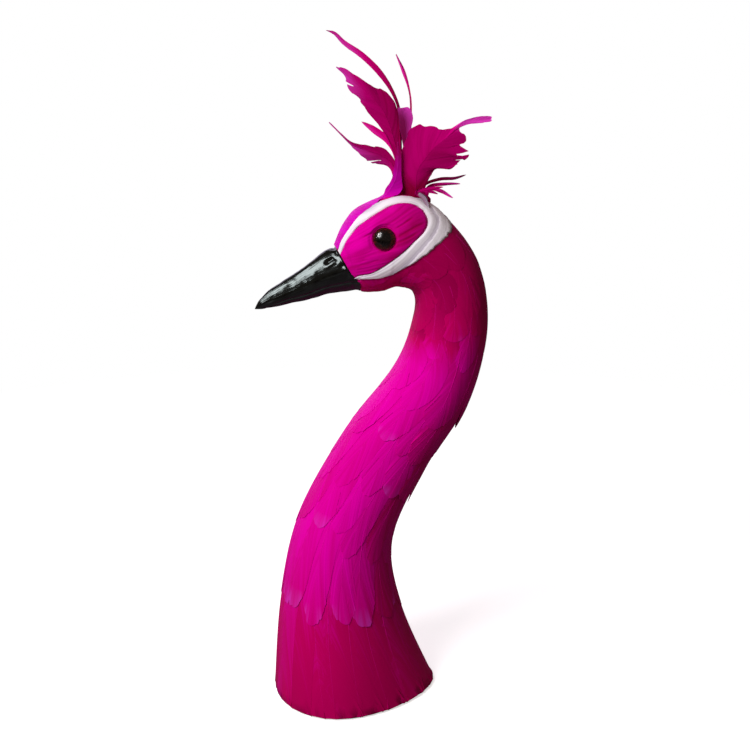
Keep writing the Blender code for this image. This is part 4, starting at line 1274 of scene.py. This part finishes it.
# %% Crest places
CREST_HEIGHT = 92 * MM
CREST_ALONG = back_from_beak(31.6 * MM)
crest_middle = bare_point(np.array(CREST_ALONG), np.array(0.0))
CROWN_STEM = np.array([
    (-7.4, -4.0, 5.0, 2.2, 6.8),
    (-4.4, -5.5, 11.0, 2.4, 3.4),
    (-3.5, -6.2, 18.0, 1.9, 2.3),
    (-3.3, -7.0, 27.0, 1.3, 1.5),
    (-3.9, -7.6, 35.3, 0.4, 0.4),
])
CREST_FEATHERS = {
    "crest_tall_feather": ((0.3, 7.4), (
        (-2.6, -2.7, 18.8, 0.8, 0.9),
        (-5.5, -4.3, 34.2, 3.4, 4.2),
        (-12.1, -6.5, 51.4, 8.4, 8.8),
        (-22.3, -8.7, 62.9, 6.0, 5.0),
        (-29.0, -9.6, 68.2, 5.8, 4.0),
        (-32.5, -10.0, 71.2, 2.0, 3.2),
        (-36.4, -10.3, 74.9, 1.1, 2.2),
        (-41.5, -10.9, 78.8, 0.9, 0.8),
    )),
    "crest_low_feather": ((0.8, -1.0), (
        (-4.9, -1.1, 16.7, 0.9, 0.9),
        (-11.0, -3.3, 23.9, 6.5, 4.3),
        (-20.8, -6.5, 27.9, 4.9, 3.0),
        (-32.4, -9.8, 32.6, 1.1, 1.1),
        (-39.3, -12.0, 38.8, 0.5, 0.5),
        (-46.7, -13.0, 46.1, 0.4, 0.4),
    )),
    "crest_fan_feather": ((-1.3, 5.6), (
        (9.1, -4.3, 14.5, 12.5, 13.0),
        (13.5, -6.6, 22.5, 18.0, 19.0),
        (18.6, -8.8, 29.4, 14.5, 18.5),
        (23.6, -10.0, 33.6, 8.4, 17.5),
        (25.2, -10.4, 35.0, 6.4, 9.5),
        (29.6, -11.1, 39.0, 2.6, 10.2),
        (32.0, -11.6, 41.4, 1.6, 1.6),
        (38.0, -12.4, 45.2, 1.6, 1.6),
        (46.0, -13.4, 46.8, 2.1, 2.1),
        (53.4, -14.1, 47.2, 1.6, 1.6),
    )),
    "crest_ribbon_feather": ((-0.2, -1.4), (
        (0.3, 4.3, 27.4, 0.8, 0.8),
        (0.3, 8.7, 48.7, 0.9, 0.9),
        (-3.7, 12.0, 62.1, 1.2, 1.2),
        (-11.4, 15.2, 74.1, 1.8, 1.8),
        (-21.8, 17.4, 84.5, 1.9, 1.8),
        (-32.9, 18.5, 92.3, 1.6, 1.3),
        (-39.1, 18.5, 98.0, 1.0, 1.0),
        (-44.9, 17.4, 100.0, 0.4, 0.4),
    )),
    "crest_whisker_feather": ((-0.6, -9.8), (
        (6.0, 7.6, 27.1, 0.6, 0.6),
        (7.9, 13.0, 51.4, 0.6, 0.6),
        (7.2, 16.3, 63.6, 0.6, 0.6),
        (4.2, 18.5, 74.6, 1.1, 1.1),
        (-0.5, 20.7, 85.5, 0.4, 0.4),
    )),
    "crest_lobe_feather": ((-0.9, -2.2), (
        (2.7, 2.4, 27.0, 0.8, 0.8),
        (3.2, 3.5, 37.0, 3.2, 3.0),
        (2.5, 4.4, 44.5, 5.0, 6.0),
        (1.0, 5.0, 50.0, 3.4, 5.0),
        (0.0, 5.4, 53.5, 1.2, 2.0),
    )),
    "crest_lance_feather": ((0.4, -7.0), (
        (-2.5, 6.5, 21.0, 0.8, 0.8),
        (-6.5, 9.8, 32.0, 1.9, 1.9),
        (-14.2, 13.0, 38.7, 2.1, 2.1),
        (-23.4, 16.3, 44.8, 0.4, 0.4),
    )),
    "crest_upper_wisp": ((-1.6, -8.4), (
        (16.1, 5.4, 5.8, 1.0, 1.0),
        (26.3, 8.7, 8.5, 1.1, 1.1),
        (36.5, 10.9, 8.7, 1.0, 1.0),
        (44.1, 13.0, 10.7, 0.4, 0.4),
    )),
    "crest_middle_wisp": ((-2.2, 0.0), (
        (18.8, 2.7, 4.8, 1.0, 1.0),
        (28.7, 4.3, 5.8, 1.0, 1.0),
        (38.9, 6.5, 5.7, 0.4, 0.4),
    )),
    "crest_lower_wisp": ((-2.4, 8.6), (
        (17.9, -2.2, 3.5, 1.0, 1.0),
        (24.6, -4.3, 2.4, 1.2, 1.2),
        (31.8, -6.5, -1.8, 0.4, 0.4),
    )),
}


def crest_points(rows):
    """Rows of shaft points and widths in metres."""
    rows = np.array(rows, float) * CREST_HEIGHT / 100
    rows[:, :3] += crest_middle
    return rows


print("the crest's middle is", round(float(crest_middle[2]) / MM), "mm up")

# %% [markdown]
# ## A free shaft
# A feather that stands free has no neck to follow, only its own bent shaft. Points along a curve alone
# don't say which way the vane faces, so at each point a direction across is worked out from the line
# and the bird's left. The vane is cupped a little towards its edges, and they sweep towards the tip.

# %% A free shaft
TIP_ROUND = 3 * MM  # length over which a free tip is rounded
VANE_CUP = 0.12  # how far an edge lies back from the shaft, as a share of the width there
VANE_SWEEP = 0.4  # how far it lies towards the tip
SHAFT_POINTS = 400


def free_shaft(points, twist):
    """How a feather stands free: its place function, its two widths and its length.

    A vane with no twist lies flat across the bird, and at a twist of 1 it faces the bird's left.
    """
    dense = spline(points, np.linspace(0, len(points) - 1, SHAFT_POINTS))
    gone = np.concatenate([[0], np.cumsum(np.linalg.norm(np.diff(dense[:, :3], axis=0), axis=1))])
    shares = gone / gone[-1]
    line = unit(np.gradient(dense[:, :3], axis=0))
    level = unit(SIDEWAYS - line * (line @ SIDEWAYS)[:, None])
    turned_side = np.cross(line, SIDEWAYS)
    mixed = twist(shares)[:, None]
    side = unit(level * (1 - mixed) + turned_side * mixed)
    facing = np.cross(side, line)

    def read(table, share):
        return np.stack([np.interp(share, shares, column) for column in table.T], -1)

    def place(share, x, height):
        x, height = x[..., None], height[..., None]
        bend = read(line, share) * VANE_SWEEP * np.abs(x) - read(facing, share) * VANE_CUP * np.abs(x)
        return read(dense[:, :3], share) + read(side, share) * x + read(facing, share) * height + bend

    def tip_round(share):
        start = 1 - min(0.5, TIP_ROUND / gone[-1])
        return np.sqrt(np.maximum(1 - np.clip((share - start) / (1 - start), 0, 1) ** 2, 0))

    def before(share):
        return np.interp(share, shares, dense[:, 3]) * tip_round(share)

    def behind(share):
        return np.interp(share, shares, dense[:, 4]) * tip_round(share)

    return place, before, behind, gone[-1]


tall_length = free_shaft(crest_points(CREST_FEATHERS["crest_tall_feather"][1]), np.ones_like)[3]
print("the tall feather is", round(float(tall_length) / MM), "mm long over the crown")

# %% [markdown]
# ## Crest feathers
# Each feather is darker near its root, pales towards its tip, and has a few splits where barbs came
# unhooked. Chance could place them, but these are few and large enough to know the feather by, so they
# are listed.

# %% Looks of the crest feathers
# The brightness of each feather's dye along its shaft, how much painted shade darkens it behind its
# shaft and painted light brightens it before, and its splits: where the split meets the edge, on which
# side, how near the shaft it starts and how far it opens.
CREST_LOOKS = {
    "crest_tall_feather": (
        ((0, 0.1), (0.3, 0.45), (0.65, 0.6), (0.95, 1.6)), 0.35,
        ((0.86, -1, 0.6, 0.015),),
    ),
    "crest_low_feather": (((0, 0.9), (0.5, 1.0), (0.85, 1.5)), 0.5, ((0.5, -1, 0.5, 0.03),)),
    "crest_fan_feather": (
        ((0, -0.6), (0.1, 0.0), (0.22, 0.6), (0.5, 0.75), (0.68, 0.9), (0.78, 1.9)), 0.0,
        ((0.58, 1, 0.78, 0.015), (0.46, 1, 0.85, 0.01)),
    ),
    "crest_ribbon_feather": (((0, 0.2), (0.35, -0.3), (0.6, 0.2), (0.85, 1.4)), 0.2, ()),
    "crest_whisker_feather": (((0, 0.7), (0.6, 0.8), (0.95, 1.3)), 0.2, ()),
    # The lobe stands in the tall feather's shadow, so its tone above 1 is painted light against it
    "crest_lobe_feather": (((0, 1.2), (0.4, 2.1), (1, 2.6)), 0.1, ()),
    "crest_lance_feather": (((0, 0.5), (1, 1.2)), 0.2, ()),
    "crest_upper_wisp": (((0, 0.3), (1, 1.4)), 0.2, ()),
    "crest_middle_wisp": (((0, 0.3), (1, 1.5)), 0.2, ()),
    "crest_lower_wisp": (((0, 0.3), (1, 1.5)), 0.2, ()),
}
print("looks for", len(CREST_LOOKS), "feathers")

# %% [markdown]
# ## From the quill to the tip
# A quill is pushed into a hole in the crown and glued. The vane's grid could start at the crown, but
# then light would show under its corners. So the curve starts inside the head, goes straight out, and
# only then follows the places listed for the feather.

# %% From the quill to the tip
BARE_QUILL = (0.1 * MM, 0.1 * MM)  # the vane's widths at the root where hardly any barbs are left
QUILL_TOP = 2.5 * MM  # over the crown
ROOT_DEPTH = 4.0 * MM  # the vane starts inside the crown, so no light shows under its corners
ROW_LENGTH = 0.55 * MM  # along the shaft, for each row of the vane's grid
ROOT_WIDTHS = {
    "crest_tall_feather": (1.6 * MM, 1.6 * MM),
    "crest_low_feather": (2.2 * MM, 2.2 * MM),
    "crest_lance_feather": (1.6 * MM, 2.0 * MM),
    "crest_fan_feather": (7.4 * MM, 5.2 * MM),
    "crest_upper_wisp": (1.0 * MM, 1.0 * MM),
    "crest_middle_wisp": (1.0 * MM, 1.0 * MM),
    "crest_lower_wisp": (1.0 * MM, 1.0 * MM),
}
DOWN_ROOT = (1.3 * MM, 1.3 * MM)
CREST_SHAFT = 0.4 * MM
THIN_SHAFT = 0.2 * MM


def loose_feather(root, rows, tone, side_shade, splits, root_widths=BARE_QUILL, shaft=CREST_SHAFT):
    """A loose feather of the crest: a quill in the crown, then the shaft with its vane."""
    spot = np.array(CREST_ALONG + root[0]), np.array(root[1])
    entry, outward = bare_point(*spot), body_normal(*spot)
    quill = [(*(entry + outward * height), *root_widths) for height in (-ROOT_DEPTH, QUILL_TOP)]
    points = np.concatenate([quill, crest_points(rows)])
    place, before, behind, length = free_shaft(points, np.ones_like)
    return feather(
        place, length, before, behind, tone, rows=int(length / ROW_LENGTH), columns=17, end=0.995,
        ragged=0.02, relief=0.07 * MM, splits=splits, shaft=shaft, shaft_end=0.97, side_shade=side_shade,
        waves=0.7 * MM,
    )


for name, look in CREST_LOOKS.items():
    shaft = THIN_SHAFT if name.endswith(("fan_feather", "wisp")) else CREST_SHAFT
    parts = loose_feather(*CREST_FEATHERS[name], *look, ROOT_WIDTHS.get(name, BARE_QUILL), shaft)
    add_piece(name.replace("crest", "dyed"), parts, crest_finish, [name])

# %% [markdown]
# ## Down at the crest's root
# The quills aren't bare sticks. Short soft feathers stand close round them and hide the glue. Loose
# hairs could stand for them, but they would be too thin to keep when the mesh is printed. So they are
# small feathers, listed like the crest's, in one piece. A row starts with how bright its dye is and
# where its root is on the crown, and then come its shaft's places.

# %% Down at the crest's root
CREST_DOWN = (
    (0.7, (-2.6, 10.0), (9.0, -7.0, 2.0, 1.6, 1.6), (16.0, -7.6, 4.0, 1.4, 1.2), (25.0, -8.4, 5.5, 0.4, 0.4)),
    (1.0, (-2.8, 4.0), (9.0, -2.0, 2.0, 1.6, 1.6), (16.0, -2.2, 2.5, 1.4, 1.2), (23.0, -2.4, 0.5, 0.4, 0.4)),
    (0.2, (-0.3, -13.0), (1.0, 9.0, 3.0, 2.8, 2.8), (1.4, 9.0, 9.0, 2.6, 2.6), (1.6, 8.8, 16.0, 0.5, 0.5)),
    (0.4, (0.8, -8.0), (-0.5, 6.6, 9.0, 2.2, 2.4), (-1.0, 6.8, 19.0, 1.6, 2.0), (-0.6, 6.6, 28.0, 0.4, 0.4)),
    (0.25, (-0.6, -12.0), (4.0, 8.2, 8.0, 3.2, 3.6), (6.0, 8.2, 15.0, 2.8, 3.0), (7.0, 8.0, 23.0, 0.5, 0.6)),
    (0.7, (-2.0, -10.0), (8.0, 7.4, 4.0, 2.6, 2.6), (14.0, 7.6, 8.0, 2.6, 2.4), (21.0, 8.4, 12.0, 0.5, 0.5)),
)
DOWN_SPLITS = ((0.7, 1, 0.3, 0.05), (0.6, -1, 0.4, 0.04))
down_parts = []
for tone, root, *rows in CREST_DOWN:
    tones = ((0, tone - 0.4), (0.5, tone))
    down_parts += loose_feather(root, rows, tones, 0.15, DOWN_SPLITS, DOWN_ROOT, THIN_SHAFT)
add_piece("crest_root_down", down_parts, crest_finish)
# One feather there took almost no dye and hangs down behind the crest
tuft = ((9.5, -8.6, 1.5, 1.0, 1.0), (12.8, -9.6, -1.4, 1.2, 1.4), (15.8, -10.2, -7.5, 0.5, 0.5))
tuft_parts = loose_feather((-2.4, 12.0), tuft, ((0, -0.9), (1, -0.4)), 0.3, (), DOWN_ROOT, THIN_SHAFT)
add_piece("hanging_white_tuft", tuft_parts, white_feather)

# %% [markdown]
# ## Crown feather
# One pink feather runs from the beak over the crown between the white bands. Its end is stripped and
# stands up in front of the crest. A strip and a stem could be two pieces, but a seam would show where
# the feather bends up. On the head it follows the surface, and after that it is free, so its place
# function goes over smoothly from one to the other.

# %% Crown feather
CROWN_CLEARANCE = 0.4 * MM
CROWN_FROM_CREST = 6.5 * MM
CROWN_LIFT = 0.6 * MM
CROWN_FRONT = back_from_beak(0.3 * MM)
CROWN_ROWS = 14  # places along the head
NARROW_OVER = 1.6  # how far before its rise it starts to narrow, in hundredths of the neck
STEM_TURN = (0.42, 0.25)  # the vane turns to the bird's side from here and over so much, as shares
FREE_FROM = 0.06  # how long before its rise it starts to leave the head, as a share of its length
FREE_OVER = 0.1
GIRTH_DOWN = 12  # degrees from the crown where the head's roundness under the strip is measured
CROWN_TONES = ((0.0, 0.7), (0.45, 0.8), (0.6, 0.68), (0.72, 0.55), (0.85, 0.2), (1.0, -0.3))
crown_back = CREST_ALONG + 100 * CROWN_FROM_CREST / NECK_LENGTH


def crown_feather():
    """The strip over the crown with its raised end."""
    band = face_edge(BAND_EDGE, np.linspace(0, 0.45, 200))[::-1]
    strip = np.linspace(CROWN_FRONT, crown_back, CROWN_ROWS)
    edge = np.interp(strip, band[:, 0], band[:, 1])
    half = np.radians(edge) * ring_radius(strip, edge / 2) - CROWN_CLEARANCE
    half *= 1 - 0.5 * smooth_step((crown_back + NARROW_OVER - strip) / NARROW_OVER)
    spine = on_body(strip, 0 * strip, CROWN_LIFT + 0 * strip)
    on_head = np.concatenate([spine, half[:, None], half[:, None]], 1)
    points = np.concatenate([on_head, crest_points(CROWN_STEM)])
    turn_from, turn_over = STEM_TURN
    place, before, behind, length = free_shaft(
        points, lambda share: smooth_step((share - turn_from) / turn_over)
    )
    lengths = np.concatenate([[0], np.cumsum(np.linalg.norm(np.diff(points[:, :3], axis=0), axis=1))])
    turn_up = lengths[CROWN_ROWS - 1] / lengths[-1]

    def laid(share, x, height):
        along = np.interp(share, [0, turn_up], [CROWN_FRONT, crown_back])
        down = np.degrees(x / ring_radius(along, 0 * along + GIRTH_DOWN))
        head = on_body(along, down, CROWN_LIFT + height)
        free = smooth_step((share - turn_up + FREE_FROM) / FREE_OVER)[..., None]
        return head * (1 - free) + place(share, x, height) * free

    return feather(
        laid, length, before, behind, CROWN_TONES, rows=150, columns=21, end=0.995, lead=0.08, ragged=0.02,
        shaft=0.35 * MM, shaft_end=0.98, share_shown=HIDE_PALE,
    )


add_piece("crown_dyed_feather", crown_feather(), crown_finish, ["crown_feather"])

# %% [markdown]
# ## Floor
# The bird stands on a sheet of white paper, which shows only its soft shadow. A floor that is just
# white would turn grey towards its far end, so the paper glows a little, and far from the bird it does
# nothing but glow. Rays that leave the bird meet a dim grey instead, so that it isn't lit from below.

# %% Floor
FADE_FROM = 0.25  # metres from the bird, where paper starts to turn to glow
FADE_TO = 0.8
NEAR_GLOW = 0.62
SPAN = 4.0
floor_mesh = bpy.data.meshes.new("floor")
corners = [(-SPAN, -SPAN, 0), (SPAN, -SPAN, 0), (SPAN, SPAN, 0), (-SPAN, SPAN, 0)]
floor_mesh.from_pydata(corners, [], [(0, 1, 2, 3)])
floor = bpy.data.objects.new("floor", floor_mesh)
bpy.context.scene.collection.objects.link(floor)
# Uncoated paper: matte, with no gloss at all, so only the shadow is seen on it
paper, tree, shader = new_material("white_paper_backdrop")
place = add(tree, "ShaderNodeTexCoord").outputs["Object"]
far = add(tree, "ShaderNodeVectorMath", {0: place}, operation="LENGTH").outputs["Value"]
fade = add(tree, "ShaderNodeMapRange", {"Value": far, "From Min": FADE_FROM, "From Max": FADE_TO}).outputs[0]
inputs = {FACTOR: fade, FIRST: from_hex("F4F3F4"), SECOND: from_hex("000000")}
pale_paper = add(tree, "ShaderNodeMix", inputs, data_type="RGBA").outputs[MIXED]
glow = add(tree, "ShaderNodeMapRange", {"Value": fade, "To Min": NEAR_GLOW, "To Max": 1.0}).outputs[0]
for socket, value in (("Base Color", pale_paper), ("Emission Strength", glow)):
    tree.links.new(value, shader.inputs[socket])
shader.inputs["Emission Color"].default_value = from_hex("FFFFFF")
shader.inputs["Roughness"].default_value = 0.9
shader.inputs["Specular IOR Level"].default_value = 0.0
dim = add(tree, "ShaderNodeBsdfDiffuse", {"Color": from_hex("706468")}).outputs[0]
seen = add(tree, "ShaderNodeLightPath").outputs["Is Camera Ray"]
choice = add(tree, "ShaderNodeMixShader", {0: seen, 1: dim, 2: shader.outputs[0]}).outputs[0]
tree.links.new(choice, tree.nodes["Material Output"].inputs["Surface"])
floor_mesh.materials.append(paper)
print("the floor is", 2 * SPAN, "m across")

# %% [markdown]
# ## Light
# A photographer's soft box up to the left, in front of the bird, gives the bright front and the deep
# crimson back. One lamp alone would leave the back black, so a larger and weaker one stands behind it,
# cool, and draws the violet edge on the feathers.

# %% Light
LOOKED_AT = Vector((0.02, 0, 0.2))


def add_area_light(name, place, size, power, colour):
    """A soft square light that looks at the bird's neck."""
    data = bpy.data.lights.new(name, "AREA")
    data.size = size
    data.energy = power
    data.color = from_hex(colour)[:3]
    light = bpy.data.objects.new(name, data)
    light.location = place
    light.rotation_euler = (LOOKED_AT - Vector(place)).to_track_quat("-Z", "Y").to_euler()
    bpy.context.scene.collection.objects.link(light)


add_area_light("key_light", (-0.75, -0.68, 0.92), 0.6, 14.4, "FFFFFF")
add_area_light("back_light", (-0.3, 1.1, 0.8), 1.2, 8.5, "F4E8FF")
print("lights:", len(bpy.data.lights))

# %% [markdown]
# ## Background
# The photograph is a cut-out on pure white. A white world would also flood the bird with light and
# flatten it. So only the camera sees white, and the feathers feel a weak warm glow from all round.

# %% Background
world = bpy.data.worlds.new("studio")
bpy.context.scene.world = world
world.use_nodes = True
sky = world.node_tree
sky.nodes.clear()
ray = add(sky, "ShaderNodeLightPath")
seen = add(sky, "ShaderNodeBackground", {"Color": from_hex("FFFFFF"), "Strength": 1.0})
felt = add(sky, "ShaderNodeBackground", {"Color": from_hex("FFE8D0"), "Strength": 0.15})
inputs = {0: ray.outputs["Is Camera Ray"], 1: felt.outputs[0], 2: seen.outputs[0]}
choice = add(sky, "ShaderNodeMixShader", inputs)
add(sky, "ShaderNodeOutputWorld", {"Surface": choice.outputs[0]})
bpy.context.scene.view_settings.view_transform = "Standard"
print("view:", bpy.context.scene.view_settings.view_transform)
